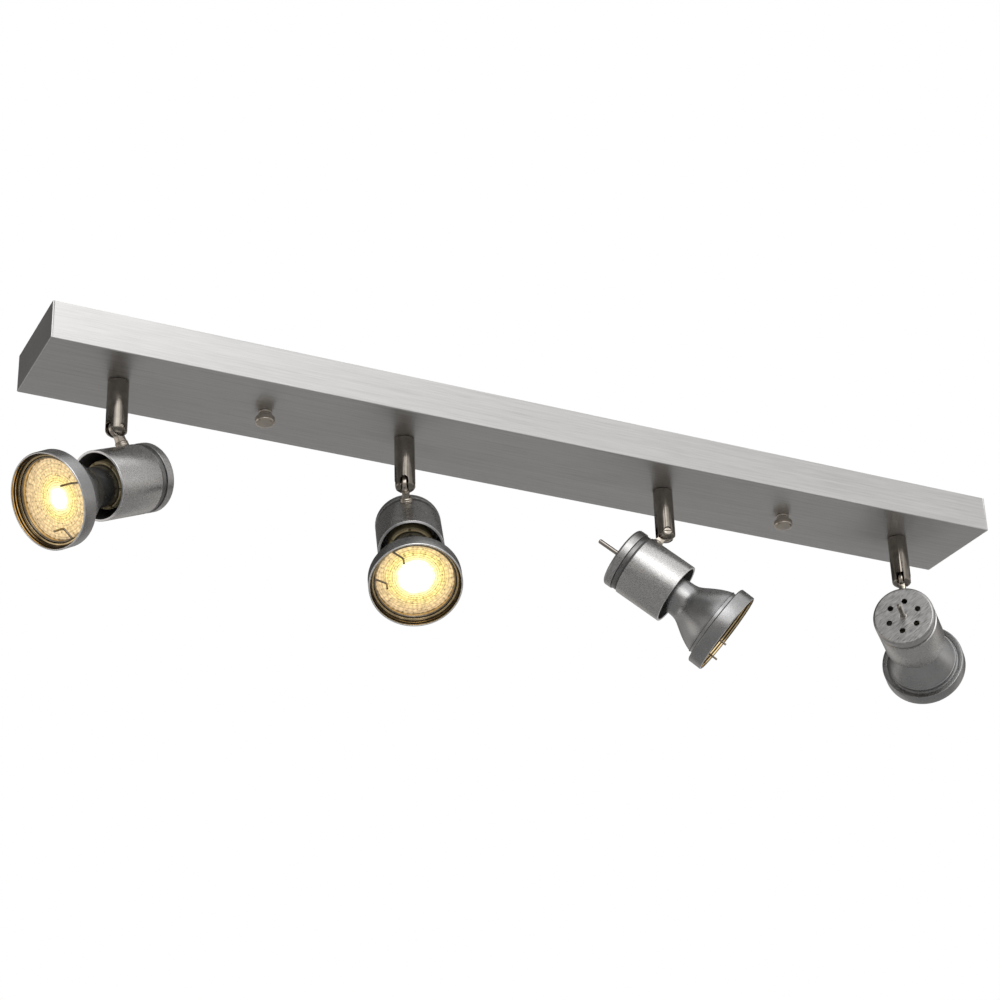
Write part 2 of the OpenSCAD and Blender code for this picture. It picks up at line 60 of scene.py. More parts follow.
class Tree:
    """A node tree, with short ways to add the nodes that the looks need."""

    def __init__(self, tree):
        self.tree = tree

    def feed(self, socket, value):
        """Links an output to a socket, or sets the socket to a constant."""
        if isinstance(value, bpy.types.NodeSocket):
            self.tree.links.new(value, socket)
        else:
            socket.default_value = value

    def node(self, kind, inputs=None, **settings):
        made = self.tree.nodes.new(kind)
        for key, value in settings.items():
            setattr(made, key, value)
        for key, value in (inputs or {}).items():
            self.feed(made.inputs[key], value)
        return made

    def maths(self, operation, *values):
        return self.node("ShaderNodeMath", dict(enumerate(values)), operation=operation).outputs["Value"]

    def blend(self, a, share, b):
        """That share of one value and the rest of another."""
        return self.maths("ADD", self.maths("MULTIPLY", a, share), self.maths("MULTIPLY", b, 1 - share))

    def spread(self, value, low, high, at=(0.3, 0.7), shape="LINEAR"):
        """Value between at[0] and at[1], mapped to the range from low to high."""
        inputs = {"Value": value, "From Min": at[0], "From Max": at[1], "To Min": low, "To Max": high}
        return self.node("ShaderNodeMapRange", inputs, interpolation_type=shape).outputs["Result"]

    def ramp(self, value, stops):
        """Colour from a list of (position, colour) stops."""
        made = self.node("ShaderNodeValToRGB", {"Fac": value})
        elements = made.color_ramp.elements
        while len(elements) < len(stops):
            elements.new(0.5)
        for element, (position, colour) in zip(elements, stops):
            element.position = position
            element.color = (*colour, 1)
        return made.outputs["Color"]


class Look(Tree):
    """A principled material whose colour, roughness and bump come from noise on the piece."""

    def __init__(self, name, metallic=0.0, **constants):
        self.material = bpy.data.materials.new(name)
        self.material.use_nodes = True
        super().__init__(self.material.node_tree)
        self.shader = self.tree.nodes["Principled BSDF"]
        self.set("Metallic", metallic)
        for socket, value in constants.items():
            self.set(socket.replace("_", " "), value)
        self.height = None

    def set(self, socket, value):
        self.feed(self.shader.inputs[socket], value)

    def coordinates(self, stretch=(1, 1, 1), turn=0.0):
        """Position on the piece in millimetres, turned about X and squeezed along each axis."""
        place = self.node("ShaderNodeTexCoord").outputs["Object"]
        turned = self.node("ShaderNodeMapping", {"Vector": place, "Rotation": (turn, 0, 0)})
        inputs = {"Vector": turned.outputs["Vector"], "Scale": [1 / MM / s for s in stretch]}
        return self.node("ShaderNodeMapping", inputs).outputs["Vector"]

    def axes(self):
        """Position on the piece in millimetres, as outputs X, Y and Z."""
        return self.node("ShaderNodeSeparateXYZ", {"Vector": self.coordinates()}).outputs

    def noise(self, size, stretch=(1, 1, 1), detail=3.0, turn=0.0):
        """Noise with features of about that many millimetres."""
        inputs = {"Scale": 1 / size, "Detail": detail, "Vector": self.coordinates(stretch, turn)}
        return self.node("ShaderNodeTexNoise", inputs).outputs["Fac"]

    def cells(self, place, size=1.0, randomness=1.0):
        """Distance from the middle of the nearest cell of that size."""
        inputs = {"Scale": 1 / size, "Randomness": randomness, "Vector": place}
        return self.node("ShaderNodeTexVoronoi", inputs, feature="F1").outputs["Distance"]

    def colour(self, value, stops):
        self.set("Base Color", self.ramp(value, stops))

    def roughness(self, value, low, high):
        self.set("Roughness", self.spread(value, low, high))

    def bump(self, value, depth, strength=1.0):
        """Adds a bump of that depth in millimetres on top of the earlier ones."""
        inputs = {"Distance": depth * MM, "Strength": strength, "Height": value}
        if self.height is not None:
            inputs["Normal"] = self.height
        self.height = self.node("ShaderNodeBump", inputs).outputs["Normal"]
        self.set("Normal", self.height)


def grey(value, warm=0.0):
    return (value * (1 + warm), value, value * (1 - warm))


def plain(name, tint, dark, light, rough=None, relief=None, grain=None, **constants):
    """A material with two tints mixed by one noise, and a grain from the same noise or another.

    The tint and the grain are noises, and the relief is the depth and the strength of a bump.
    """
    look = Look(name, **constants)
    tinted = look.noise(**tint)
    grained = look.noise(**grain) if grain else tinted
    look.colour(tinted, [(0.3, dark), (0.7, light)])
    if rough:
        look.roughness(grained, *rough)
    if relief:
        look.bump(grained, *relief)
    return look.material


def brushed_canopy():
    """Aluminium brushed along the bar, with long hairlines and a few deeper ones."""
    look = Look("brushed_canopy", metallic=1.0, Anisotropic=0.55)
    fine = look.noise(0.22, stretch=(90, 1, 1), detail=4)
    broad = look.noise(1.4, stretch=(60, 1, 1))
    cloud = look.noise(45)
    mixed = look.blend(fine, 0.6, broad)
    look.colour(mixed, [(0.25, grey(0.48, 0.01)), (0.5, grey(0.61, 0.01)), (0.8, grey(0.73, 0.01))])
    look.roughness(look.blend(mixed, 0.7, cloud), 0.3, 0.42)
    look.bump(fine, 0.03, 0.5)
    look.bump(broad, 0.05, 0.35)
    return look.material


def satin_housing():
    """Bead-blasted aluminium with a fine speckle."""
    look = Look("satin_housing", metallic=1.0)
    grain = look.noise(0.65, detail=6)
    fine = look.noise(0.3, detail=3)
    cloud = look.noise(9)
    look.colour(grain, [(0.32, grey(0.38, 0.012)), (0.5, grey(0.52, 0.012)), (0.66, grey(0.66, 0.012))])
    look.roughness(look.blend(grain, 0.5, cloud), 0.22, 0.34)
    look.bump(fine, 0.02, 0.5)
    look.bump(grain, 0.08, 0.5)
    return look.material


def turned_metal(name, brightness):
    """Aluminium turned on a lathe: rings round the axis on the side and a brushed face."""
    look = Look(name, metallic=1.0, Anisotropic=0.3)
    rings = look.noise(0.16, stretch=(1, 60, 60))
    grain = look.noise(0.32, stretch=(1, 16, 1), detail=4, turn=BRUSHED_AT)
    look.colour(grain, [(at, grey(level * brightness, 0.01))
                        for at, level in ((0.35, 0.31), (0.5, 0.45), (0.65, 0.60))])
    look.roughness(grain, 0.24, 0.38)
    look.bump(rings, 0.03, 0.4)
    look.bump(grain, 0.04, 0.5)
    return look.material


def matte_shade(name, brightness):
    """Matte silver coat over a casting, with a faint orange peel and rubbed spots."""
    look = Look(name, metallic=0.95)
    peel = look.noise(1.1, detail=4)
    speckle = look.noise(0.5, detail=5)
    cloud = look.noise(12)
    look.colour(look.blend(speckle, 0.7, cloud),
                [(at, grey(level * brightness)) for at, level in ((0.32, 0.29), (0.5, 0.38), (0.66, 0.48))])
    look.roughness(cloud, 0.24, 0.34)
    look.bump(peel, 0.06, 0.5)
    look.bump(speckle, 0.03, 0.5)
    return look.material


def polished_nickel(name, brightness):
    """Warm nickel plate with a soft haze and hair scratches."""
    look = Look(name, metallic=1.0)
    haze = look.noise(6)
    scratches = look.noise(0.12, stretch=(1, 1, 30), detail=2)
    look.colour(haze, [(0.3, [brightness * level for level in (0.22, 0.198, 0.170)]),
                       (0.7, [brightness * level for level in (0.31, 0.280, 0.245)])])
    look.roughness(look.blend(haze, 0.5, scratches), 0.12, 0.22)
    look.bump(scratches, 0.006, 0.4)
    return look.material


def bronze_painted_reflection():
    """The smooth inside of the bezel, dark bronze that mirrors the lens, with bright gold bands painted along
    it as the lens's reflection.
    """
    look = Look("bronze_painted_reflection", metallic=1.0)
    band = look.maths("SINE", look.maths("MULTIPLY", look.axes()["X"], 2 * math.pi / BAND_PITCH))
    tint = look.maths("ADD", band, look.maths("MULTIPLY", look.noise(4), 0.8))
    look.colour(look.spread(tint, 0.0, 1.0, at=(-0.4, 1.3)),
                [(0.0, (0.035, 0.028, 0.02)), (0.5, (0.27, 0.19, 0.10)), (1.0, (0.93, 0.73, 0.42))])
    look.roughness(look.noise(0.6), 0.08, 0.16)
    return look.material


def ceramic():
    """Unglazed cream ceramic with grains and larger darker patches, its colour darkened to khaki and warmed:
    painted shade and lamplight inside the housing.
    """
    look = Look("ceramic", Specular_IOR_Level=0.35)
    grains = look.noise(0.4, detail=5)
    blotches = look.noise(7)
    look.colour(look.blend(grains, 0.5, blotches),
                [(0.32, (0.20, 0.15, 0.07)), (0.5, (0.42, 0.35, 0.20)), (0.7, (0.60, 0.53, 0.36))])
    look.roughness(grains, 0.55, 0.8)
    look.bump(grains, 0.1, 0.5)
    return look.material


def zinc_steel():
    """Zinc-plated steel with a faint spangle."""
    look = Look("zinc_steel", metallic=1.0)
    spangle = look.cells(look.coordinates(), size=3.5)
    fine = look.noise(0.4, detail=4)
    look.colour(spangle, [(0.1, (0.50, 0.51, 0.52)), (0.5, (0.60, 0.61, 0.61)), (0.9, (0.68, 0.67, 0.64))])
    look.roughness(fine, 0.28, 0.5)
    look.bump(fine, 0.03, 0.4)
    return look.material


def moulded(name, dark, light):
    """Moulded plastic with a fine texture."""
    grain = dict(size=0.5, detail=4)
    return plain(name, grain, dark, light, (0.42, 0.6), (0.03, 0.4), Specular_IOR_Level=0.4)


def across_lens(look, shift=0.0):
    """Distance and angle round a point beside the lamp's axis, in millimetres and radians."""
    axes = look.axes()
    across = look.maths("SUBTRACT", axes["Y"], shift)
    squares = [look.maths("POWER", value, 2.0) for value in (across, axes["Z"])]
    return look.maths("SQRT", look.maths("ADD", *squares)), look.maths("ARCTAN2", axes["Z"], across)


def glowing_lens(name, core):
    """Lit lens over a gilded reflector: a white core of that radius, yellow rings, then tan lenslets."""
    look = Look(name, Coat_Weight=0.3, Coat_Roughness=0.08, Roughness=0.3)
    radius, angle = across_lens(look)
    from_core, _ = across_lens(look, CORE_SHIFT)
    polar = look.node("ShaderNodeCombineXYZ", {
        "X": look.maths("DIVIDE", radius, LENSLET),
        "Y": look.maths("MULTIPLY", angle, LENSLETS_ROUND / (2 * math.pi))})
    lenslets = look.cells(polar.outputs["Vector"], randomness=0.4)
    specks = look.noise(1.1, detail=5)
    rings = look.maths("SINE", look.maths("MULTIPLY", from_core, 2 * math.pi / RING_PITCH))
    wobble = look.maths("MULTIPLY", look.maths("SUBTRACT", look.noise(3.5), 0.5), 3.0)
    shaken = look.maths("DIVIDE", look.maths("ADD", from_core, wobble), LENS_R)
    # Tint and brightness from the middle of the core outwards
    edge = core / LENS_R
    halo, gold, tan = edge + 0.07, edge + 0.22, edge + 0.4
    tint = look.ramp(shaken, [(0.0, (1.0, 0.97, 0.90)), (edge, (1.0, 0.94, 0.70)),
                              (halo, (1.0, 0.88, 0.42)), (gold, (1.0, 0.80, 0.26)),
                              (tan, (0.92, 0.68, 0.32)), (1.0, (0.76, 0.55, 0.30))])
    fall = look.ramp(shaken, [(0.0, grey(1.0)), (edge * 0.9, grey(0.9)), (halo, grey(0.6)),
                              (gold, grey(0.56)), (tan, grey(0.53)), (1.0, grey(0.53))])
    # Lenslets and dirt outside the core, rings over all of it and a dark line at the rim, painted shade where
    # the glass meets its rim
    outside = look.spread(shaken, 0.0, 1.0, at=(edge, edge + 0.2))
    pebbles = look.spread(lenslets, 0.24, -0.34, at=(0.1, 0.6))
    dirt = look.spread(specks, -0.4, 0.08, at=(0.32, 0.44))
    banded = look.maths("MULTIPLY", rings, look.spread(shaken, 0.3, 0.1, at=(edge, edge + 0.45)))
    relief = look.maths("ADD", look.maths("MULTIPLY", outside, look.maths("ADD", pebbles, dirt)), banded)
    rim_line = look.spread(radius, 0.0, -0.8, at=(LENS_R - 1.0, LENS_R - 0.2))
    shade = look.maths("MAXIMUM", look.maths("ADD", look.maths("ADD", relief, rim_line), 1.0), 0.12)
    look.set("Emission Color", tint)
    look.set("Emission Strength", look.maths("MULTIPLY", look.maths("MULTIPLY", fall, GLOW), shade))
    look.colour(specks, [(0.3, (0.10, 0.07, 0.04)), (0.7, (0.20, 0.15, 0.08))])
    look.bump(lenslets, -0.25, 0.5)
    return look.material


# ---------------------------------------------------------------- measures

# Distances along the head's axis from the knuckle's foot, and radii, in millimetres
HOUSING_R, BORE_R = 20.9, 19.4
HOUSING_BACK, HOUSING_FRONT = -6.2, 31.2
CAP_BACK, CAP_FLOOR = -12.4, -9.9
BAND_FRONT, BAND_DEPTH, GROOVE_R = -2.6, 0.7, 19.75
VENTS, VENT_R, VENT_CIRCLE_R, VENT_TURN = 6, 2.0, 10.7, 9.5
PIN_R, PIN_TIP = 1.5, -30.6
DROOP_AT = 22.0
NECK_R, RIM_R, WALL = 12.0, 24.0, 1.0
NECK_BACK, NECK_END, SHADE_FRONT = 18.0, 31.0, 64.2
BELL_DEPTH, BELL_BACK_R, FLOW = 21.7, 13.5, 2.6
BEZEL_R, BEZEL_BACK, BEZEL_FRONT = 28.6, 62.9, 72.9
LAMP_R, LAMP_FRONT = 25.0, 66.7
LENS_R = 24.05
WIRE_R, WIRE_RING_R, WIRE_AT = 0.651, 24.5, 67.5
PRONG_R, PRONG_LEAN = 17.2, 9.0
GLOW = 2.0
SMALL_CORE, WIDE_CORE, CORE_SHIFT = 5.6, 10.5, 2.2
RING_PITCH, LENSLET, LENSLETS_ROUND = 1.35, 2.1, 46
BAND_PITCH = 1.7
BRUSHED_AT = math.radians(35)
# The stem and the screw, round the tilt axis, and the drop from that axis to the head's axis
FORK_TIP, STEM_R, SCREW_HEAD_R, AXIS_DROP = 4.6, 6.5, 2.88, 32.3
CONTACT_ASIDE = 5.0
KNUCKLE_NUT_HIGH = 3.0


def points(node):
    """Vertices of a CAD piece, in metres."""
    mesh = NODES[node].data
    found = np.empty(len(mesh.vertices) * 3, np.float32)
    mesh.vertices.foreach_get("co", found)
    return found.reshape(-1, 3).astype(float)


def spread_axis(cloud, rank):
    """Direction in which a cloud of points spreads most (rank 0) or least (rank 2)."""
    _, _, directions = np.linalg.svd(cloud - cloud.mean(0), full_matrices=False)
    return Vector(directions[rank])


def placing(origin, along, up):
    """Matrix whose X is the given axis and whose Z is as close to up as it can be."""
    side = up.cross(along).normalized()
    up = along.cross(side)
    turn = Matrix((along, side, up)).transposed().to_4x4()
    return Matrix.Translation(origin) @ turn


def head_frames(i):
    """Places of the housing and of the lamp of head i, read from its CAD pieces."""
    pivot = Vector(JOINTS[f"tilt_{i}"]["pos_m"])
    pin, housing = points(f"aiming_pin_{i}"), points(f"housing_{i}")
    along = spread_axis(pin, 0)
    middle = Vector((pin.min(0) + pin.max(0)) / 2)
    if along.dot(Vector(housing.mean(0)) - middle) < 0:
        along.negate()
    foot = middle + along * (pivot - middle).dot(along)
    up = (pivot - foot).normalized()
    ring = points(f"bezel_{i}")
    lamp_along = spread_axis(ring, 2)
    if lamp_along.dot(along) < 0:
        lamp_along.negate()
    droop_point = foot + along * DROOP_AT * MM
    return (placing(foot, along, up),
            placing(droop_point - lamp_along * DROOP_AT * MM, lamp_along, up))


# ---------------------------------------------------------------- mesh tools

def linked(name, data):
    """An object with that data, in the scene."""
    made = bpy.data.objects.new(name, data)
    bpy.context.scene.collection.objects.link(made)
    return made


def shaded(name, mesh_data, materials, smooth_angle=35):
    """An object from a bmesh in metres, shaded smooth up to an angle."""
    mesh = bpy.data.meshes.new(name)
    mesh_data.to_mesh(mesh)
    mesh_data.free()
    for material in materials:
        mesh.materials.append(material)
    mesh.shade_smooth()
    mesh.set_sharp_from_angle(angle=math.radians(smooth_angle))
    return linked(name, mesh)


def finished(name, mesh_data, materials, smooth_angle=35):
    """An object from a bmesh in millimetres, with its normals outwards."""
    bmesh.ops.scale(mesh_data, vec=(MM, MM, MM), verts=mesh_data.verts)
    bmesh.ops.recalc_face_normals(mesh_data, faces=mesh_data.faces)
    return shaded(name, mesh_data, materials, smooth_angle)


def circle(count, first=0.0):
    """Cosine and sine of evenly spaced angles round a circle."""
    return [(math.cos(a), math.sin(a)) for a in (first + 2 * math.pi * k / count for k in range(count))]


def threads(start, pitch, count, flanks):
    """Outline of a thread: the (distance, radius) flanks of one turn, repeated."""
    return [(start + k * pitch + distance, radius) for k in range(count) for distance, radius in flanks]


def bridge(mesh_data, ring, after):
    """Faces between two rings of as many vertices."""
    count = len(ring)
    for j in range(count):
        mesh_data.faces.new([ring[j], ring[(j + 1) % count], after[(j + 1) % count], after[j]])


def rounded(outline, radius=0.25, steps=3):
    """The closed outline with each sharp corner rounded off."""
    made = []
    count = len(outline)
    for k, corner in enumerate(outline):
        here = Vector(corner)
        back = Vector(outline[k - 1]) - here
        ahead = Vector(outline[(k + 1) % count]) - here
        if min(corner[1], back.length, ahead.length) < TINY or back.angle(ahead) > math.radians(165):
            made.append(corner)
            continue
        reach = min(radius, back.length * 0.4, ahead.length * 0.4)
        start, end = here + back.normalized() * reach, here + ahead.normalized() * reach
        for step in range(steps + 1):
            t = step / steps
            made.append(tuple(start * (1 - t) ** 2 + here * 2 * t * (1 - t) + end * t ** 2))
    return made


def revolve(mesh_data, outline, segments, inner_below=0.0, inner_beyond=-1000.0, edge_beyond=1000.0):
    """Adds the solid swept by a closed outline of (distance, radius) points round the X axis.

    Faces below a radius and beyond a distance are inside, with material 1, and those further on are the
    front edge, with material 2.
    """
    rings = []
    for distance, radius in outline:
        if radius < TINY:
            rings.append([mesh_data.verts.new((distance, 0, 0))])
        else:
            rings.append([mesh_data.verts.new((distance, radius * c, radius * s))
                          for c, s in circle(segments)])
    for k, ring in enumerate(rings):
        after = rings[(k + 1) % len(rings)]
        ends = (outline[k], outline[(k + 1) % len(outline)])
        behind = min(end[0] for end in ends)
        inner = max(end[1] for end in ends) < inner_below and behind > inner_beyond
        edge = behind > edge_beyond
        for j in range(segments):
            corners = [ring[j % len(ring)], ring[(j + 1) % len(ring)],
                       after[(j + 1) % len(after)], after[j % len(after)]]
            unique = list(dict.fromkeys(corners))
            if len(unique) > 2:
                mesh_data.faces.new(unique).material_index = 2 if edge else 1 if inner else 0
    return mesh_data


def stood(mesh_data, axis, verts=None):
    """Turns what was swept round X so that it runs along that axis."""
    turns = {"Y": (math.pi / 2, "Z"), "Z": (-math.pi / 2, "Y")}
    if axis in turns:
        angle, about = turns[axis]
        turned = mesh_data.verts if verts is None else verts
        bmesh.ops.rotate(mesh_data, matrix=Matrix.Rotation(angle, 3, about), verts=turned)
    return mesh_data


def lathe(name, outline, materials, segments=128, axis="X", **options):
    """An object swept by an outline round that axis."""
    return finished(name, stood(revolve(bmesh.new(), outline, segments, **options), axis), materials)


def tube(mesh_data, route, radius, sides=16):
    """Adds a round tube along a list of points."""
    route = [Vector(p) for p in route]
    rings = []
    side = None
    for k, here in enumerate(route):
        heading = (route[min(k + 1, len(route) - 1)] - route[max(k - 1, 0)]).normalized()
        if side is None:
            side = heading.orthogonal().normalized()
        side = (side - heading * side.dot(heading)).normalized()
        other = heading.cross(side)
        rings.append([mesh_data.verts.new(here + radius * (side * c + other * s)) for c, s in circle(sides)])
    for ring, after in zip(rings, rings[1:]):
        bridge(mesh_data, ring, after)
    mesh_data.faces.new(rings[0])
    mesh_data.faces.new(rings[-1])
    return mesh_data


def smooth_route(corners, steps=6):
    """A Catmull-Rom curve through the corners."""
    corners = [Vector(c) for c in corners]
    padded = [2 * corners[0] - corners[1]] + corners + [2 * corners[-1] - corners[-2]]
    made = []
    for a, b, c, d in zip(padded, padded[1:], padded[2:], padded[3:]):
        for step in range(steps):
            t = step / steps
            made.append(0.5 * ((2 * b) + (c - a) * t + (2 * a - 5 * b + 4 * c - d) * t ** 2
                               + (3 * b - a - 3 * c + d) * t ** 3))
    return made + [corners[-1]]


def eased(piece, width):
    """Bevels the sharp edges of a piece by that many millimetres."""
    ease = piece.modifiers.new("ease", "BEVEL")
    ease.width = width * MM
    ease.segments = 2
    ease.limit_method = "ANGLE"
    ease.angle_limit = math.radians(40)
    return ease


def cut(piece, cutters, bevel=0.0):
    """Cuts the cutters out of a piece and eases the new edges."""
    for cutter in cutters:
        modifier = piece.modifiers.new("cut", "BOOLEAN")
        modifier.object = cutter
        modifier.operation = "DIFFERENCE"
        modifier.solver = "EXACT"
    if bevel:
        eased(piece, bevel)
    piece.modifiers.new("corners", "TRIANGULATE").min_vertices = 5
    piece.modifiers.new("flat", "WEIGHTED_NORMAL").keep_sharp = True
    evaluated = piece.evaluated_get(bpy.context.evaluated_depsgraph_get())
    mesh = bpy.data.meshes.new_from_object(evaluated)
    piece.modifiers.clear()
    piece.data = mesh
    for cutter in cutters:
        bpy.data.objects.remove(cutter)
    return piece


def rod_cutter(radius, start, end, at=(0, 0), axis="X", segments=48):
    """A cylinder to cut with, along X, Y or Z, in millimetres."""
    rod = stood(revolve(bmesh.new(), [(start, 0), (start, radius), (end, radius), (end, 0)], segments), axis)
    shift = list(at)
    shift.insert("XYZ".index(axis), 0)
    bmesh.ops.translate(rod, vec=shift, verts=rod.verts)
    return finished("cutter", rod, [])


def box_cutter(low, high):
    """A box to cut with, between two corners in millimetres."""
    mesh_data = bmesh.new()
    bmesh.ops.create_cube(mesh_data, size=1)
    size = [h - l for l, h in zip(low, high)]
    centre = [(h + l) / 2 for l, h in zip(low, high)]
    bmesh.ops.scale(mesh_data, vec=size, verts=mesh_data.verts)
    bmesh.ops.translate(mesh_data, vec=centre, verts=mesh_data.verts)
    return finished("cutter", mesh_data, [])


def claim(piece, body, slot, *nodes):
    """Lets a piece ride on a body, in place of its CAD nodes."""
    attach(piece, body)
    if nodes:
        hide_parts(*nodes)


def install(master, name, place, body, slot, *nodes):
    """Puts a copy of a piece in place on a body, in place of its CAD nodes."""
    made = linked(name, master.data.copy())
    made.matrix_world = place
    claim(made, body, slot, *nodes)


# ---------------------------------------------------------------- pieces of one head, made once

def make_housing():
    """Thin tube with a turned band at the rear and a rounded mouth."""
    outline = rounded([
        (HOUSING_BACK, BORE_R), (HOUSING_BACK, HOUSING_R - BAND_DEPTH),
        (BAND_FRONT - 0.6, HOUSING_R - BAND_DEPTH), (BAND_FRONT - 0.4, GROOVE_R),
        (BAND_FRONT + 0.4, GROOVE_R), (BAND_FRONT + 0.6, HOUSING_R),
        (HOUSING_FRONT, HOUSING_R), (HOUSING_FRONT, BORE_R)], 0.3)
    # Inside faces take the dark bore as painted shade, and the mouth's front edge the bright edge as a
    # painted highlight.
    housing = lathe("housing_look", outline, [SATIN, DARK, EDGE_HIGHLIGHT, BAND], segments=160,
                    inner_below=GROOVE_R + 0.2, edge_beyond=HOUSING_FRONT - 0.3)
    # The band's faces take the half-bright turned finish, painted shade in the recess.
    for face in housing.data.polygons:
        centre = face.center / MM
        if HOUSING_BACK < centre.x < BAND_FRONT - 0.5 and math.hypot(centre.y, centre.z) > GROOVE_R + 0.1:
            face.material_index = 3
    return housing


def make_rear_cap():
    """Turned cap: brushed face, vent holes, a fine groove round the pin and a rounded edge."""
    edge, spigot_r = HOUSING_R - 0.7, BORE_R - 0.1
    shoulder, spigot = HOUSING_BACK - 0.12, HOUSING_BACK + 3.3
    outline = rounded([
        (CAP_BACK, 0), (CAP_BACK, PIN_R + 0.6), (CAP_BACK + 0.3, PIN_R + 0.9), (CAP_BACK, PIN_R + 1.2),
        (CAP_BACK, edge - 0.6), (CAP_BACK + 0.5, edge + 0.2), (CAP_BACK + 1.3, HOUSING_R),
        (shoulder, HOUSING_R), (shoulder, spigot_r), (spigot, spigot_r),
        (spigot, BORE_R - 1.8), (CAP_FLOOR, BORE_R - 1.8), (CAP_FLOOR, 0)], 0.3)
    cap = lathe("rear_cap_look", outline, [TURNED, DARK], segments=160)
    places = [(VENT_CIRCLE_R * c, VENT_CIRCLE_R * s) for c, s in circle(VENTS, math.radians(90 + VENT_TURN))]
    vents = [rod_cutter(VENT_R, CAP_BACK - 1, CAP_FLOOR + 1, place, segments=32) for place in places]
    notch = box_cutter((HOUSING_BACK + 0.1, -6.5, BORE_R - 7), (HOUSING_BACK + 8, 6.5, BORE_R + 2))
    return cut(cap, vents + [notch], bevel=0.15)


def make_aiming_pin():
    """Polished pin with a domed tip and a shoulder at the cap."""
    outline = rounded([
        (PIN_TIP, 0), (PIN_TIP, PIN_R - 0.55), (PIN_TIP + 0.5, PIN_R), (CAP_BACK - 0.7, PIN_R),
        (CAP_BACK - 0.5, PIN_R + 0.45), (CAP_BACK + 0.25, PIN_R + 0.45), (CAP_BACK + 0.3, PIN_R - 0.02),
        (CAP_FLOOR + 4.9, PIN_R - 0.02), (CAP_FLOOR + 4.9, 0)], 0.2)
    return lathe("aiming_pin_look", outline, [PIN], segments=48)


def make_knuckle():
    """Tongue with an eye, a stepped round foot and a threaded stub."""
    thickness, half, eye_r, bore_r = 4.4, 3.2, 3.8, 1.56
    neck_z, foot_top, foot_bottom = 24.6, 24.0, 20.85
    stub_z, stub_r = 15.1, 2.42
    foot = [(half * 0.95, neck_z - 1.2), (half * 0.8, neck_z + 1.5)]
    round_eye = [(eye_r * math.cos(math.radians(a)), AXIS_DROP + eye_r * math.sin(math.radians(a)))
                 for a in range(-40, 221, 10)]
    outline = foot + round_eye + [(-x, z) for x, z in reversed(foot)]
    mesh_data = bmesh.new()
    near = [mesh_data.verts.new((x, -thickness / 2, z)) for x, z in outline]
    far = [mesh_data.verts.new((x, thickness / 2, z)) for x, z in outline]
    mesh_data.faces.new(near)
    mesh_data.faces.new(far[::-1])
    bridge(mesh_data, far, near)
    tongue = finished("tongue_look", mesh_data, [NICKEL_PAINTED_HIGHLIGHTS])
    crown_outline = rounded([(-2.2, 0), (-2.2, 4.0), (-1.2, 5.2), (1.2, 5.2), (2.2, 4.0), (2.2, 0)], 0.7)
    crown = stood(revolve(bmesh.new(), crown_outline, 64), "Y")
    bmesh.ops.translate(crown, vec=(0, 0, AXIS_DROP), verts=crown.verts)
    eye = finished("eye_look", crown, [NICKEL_PAINTED_HIGHLIGHTS])
    for piece, bevel in ((tongue, 0.35), (eye, 0.1)):
        cut(piece, [rod_cutter(bore_r, -4, 4, (0, AXIS_DROP), axis="Y", segments=32)], bevel)
    foot_outline = [(foot_bottom, 0), (foot_bottom, 4.0), (foot_bottom + 1.3, 4.0), (foot_bottom + 1.5, 3.7),
                    (foot_bottom + 1.9, 3.7), (foot_bottom + 2.1, 4.0), (foot_top - 0.6, 3.9),
                    (foot_top, 3.3), (foot_top, 0)]
    stub = [(stub_z - 0.3, 0), (stub_z - 0.3, 2.1), (stub_z, stub_r)]
    stub += threads(stub_z, 0.8, 7, [(0.4, 2.12), (0.8, stub_r)])
    stub += [(foot_bottom + 0.05, stub_r), (foot_bottom + 0.05, 0)]
    turned = revolve(bmesh.new(), rounded(foot_outline, 0.25), 64)
    revolve(turned, stub, 48)
    return joined([tongue, eye, finished("foot_look", stood(turned, "Z"), [NICKEL_PAINTED_HIGHLIGHTS])], "knuckle_look")


def joined(pieces, name):
    """One object from several."""
    mesh_data = bmesh.new()
    materials = []
    for piece in pieces:
        offset = len(materials)
        materials += list(piece.data.materials)
        first = len(mesh_data.faces)
        mesh_data.from_mesh(piece.data)
        mesh_data.faces.ensure_lookup_table()
        for face in mesh_data.faces[first:]:
            face.material_index += offset
    for piece in pieces:
        bpy.data.objects.remove(piece)
    return shaded(name, mesh_data, materials)


def make_stem():
    """Polished tube: round fork with eased ears below, threaded nipple above."""
    top, tip, radius = STEM_TOP, -FORK_TIP, STEM_R
    nipple_top, nipple_r = top + 7.4, 4.9
    roof, slot = 3.0, 2.5
    eye_clearance_r, passage_r, screw_r, screw_seat_r = 5.45, 3.5, 1.52, 2.95
    outline = [(tip, 0), (tip, radius - 2.9), (tip + 0.5, radius - 2.1), (tip + 1.6, radius - 0.75),
               (tip + 2.6, radius - 0.15), (tip + 3.6, radius), (top - 0.35, radius), (top, radius - 0.35),
               (top, nipple_r - 0.1)]
    outline += threads(top, 1.0, 7, [(0.3, nipple_r - 0.02), (0.8, nipple_r - 0.45)])
    outline += [(nipple_top - 0.4, nipple_r - 0.05), (nipple_top, nipple_r - 0.5), (nipple_top, 0)]
    stem = lathe("stem_look", outline, [NICKEL], segments=96, axis="Z")
    cutters = [box_cutter((-10, -slot, tip - 2), (0, slot, roof + 0.5)),
               box_cutter((-1, -slot, tip - 2), (10, slot, roof - slot + 0.5)),
               rod_cutter(slot, 0, 10.5, (0, roof - slot + 0.5)),
               rod_cutter(eye_clearance_r, -slot, slot, axis="Y", segments=64),
               rod_cutter(passage_r, roof + slot + 1, 60, axis="Z"),
               rod_cutter(screw_r, -8, 8, axis="Y", segments=32),
               rod_cutter(screw_seat_r, -8, -radius + 1.85, axis="Y")]
    return cut(stem, cutters, bevel=0.25)


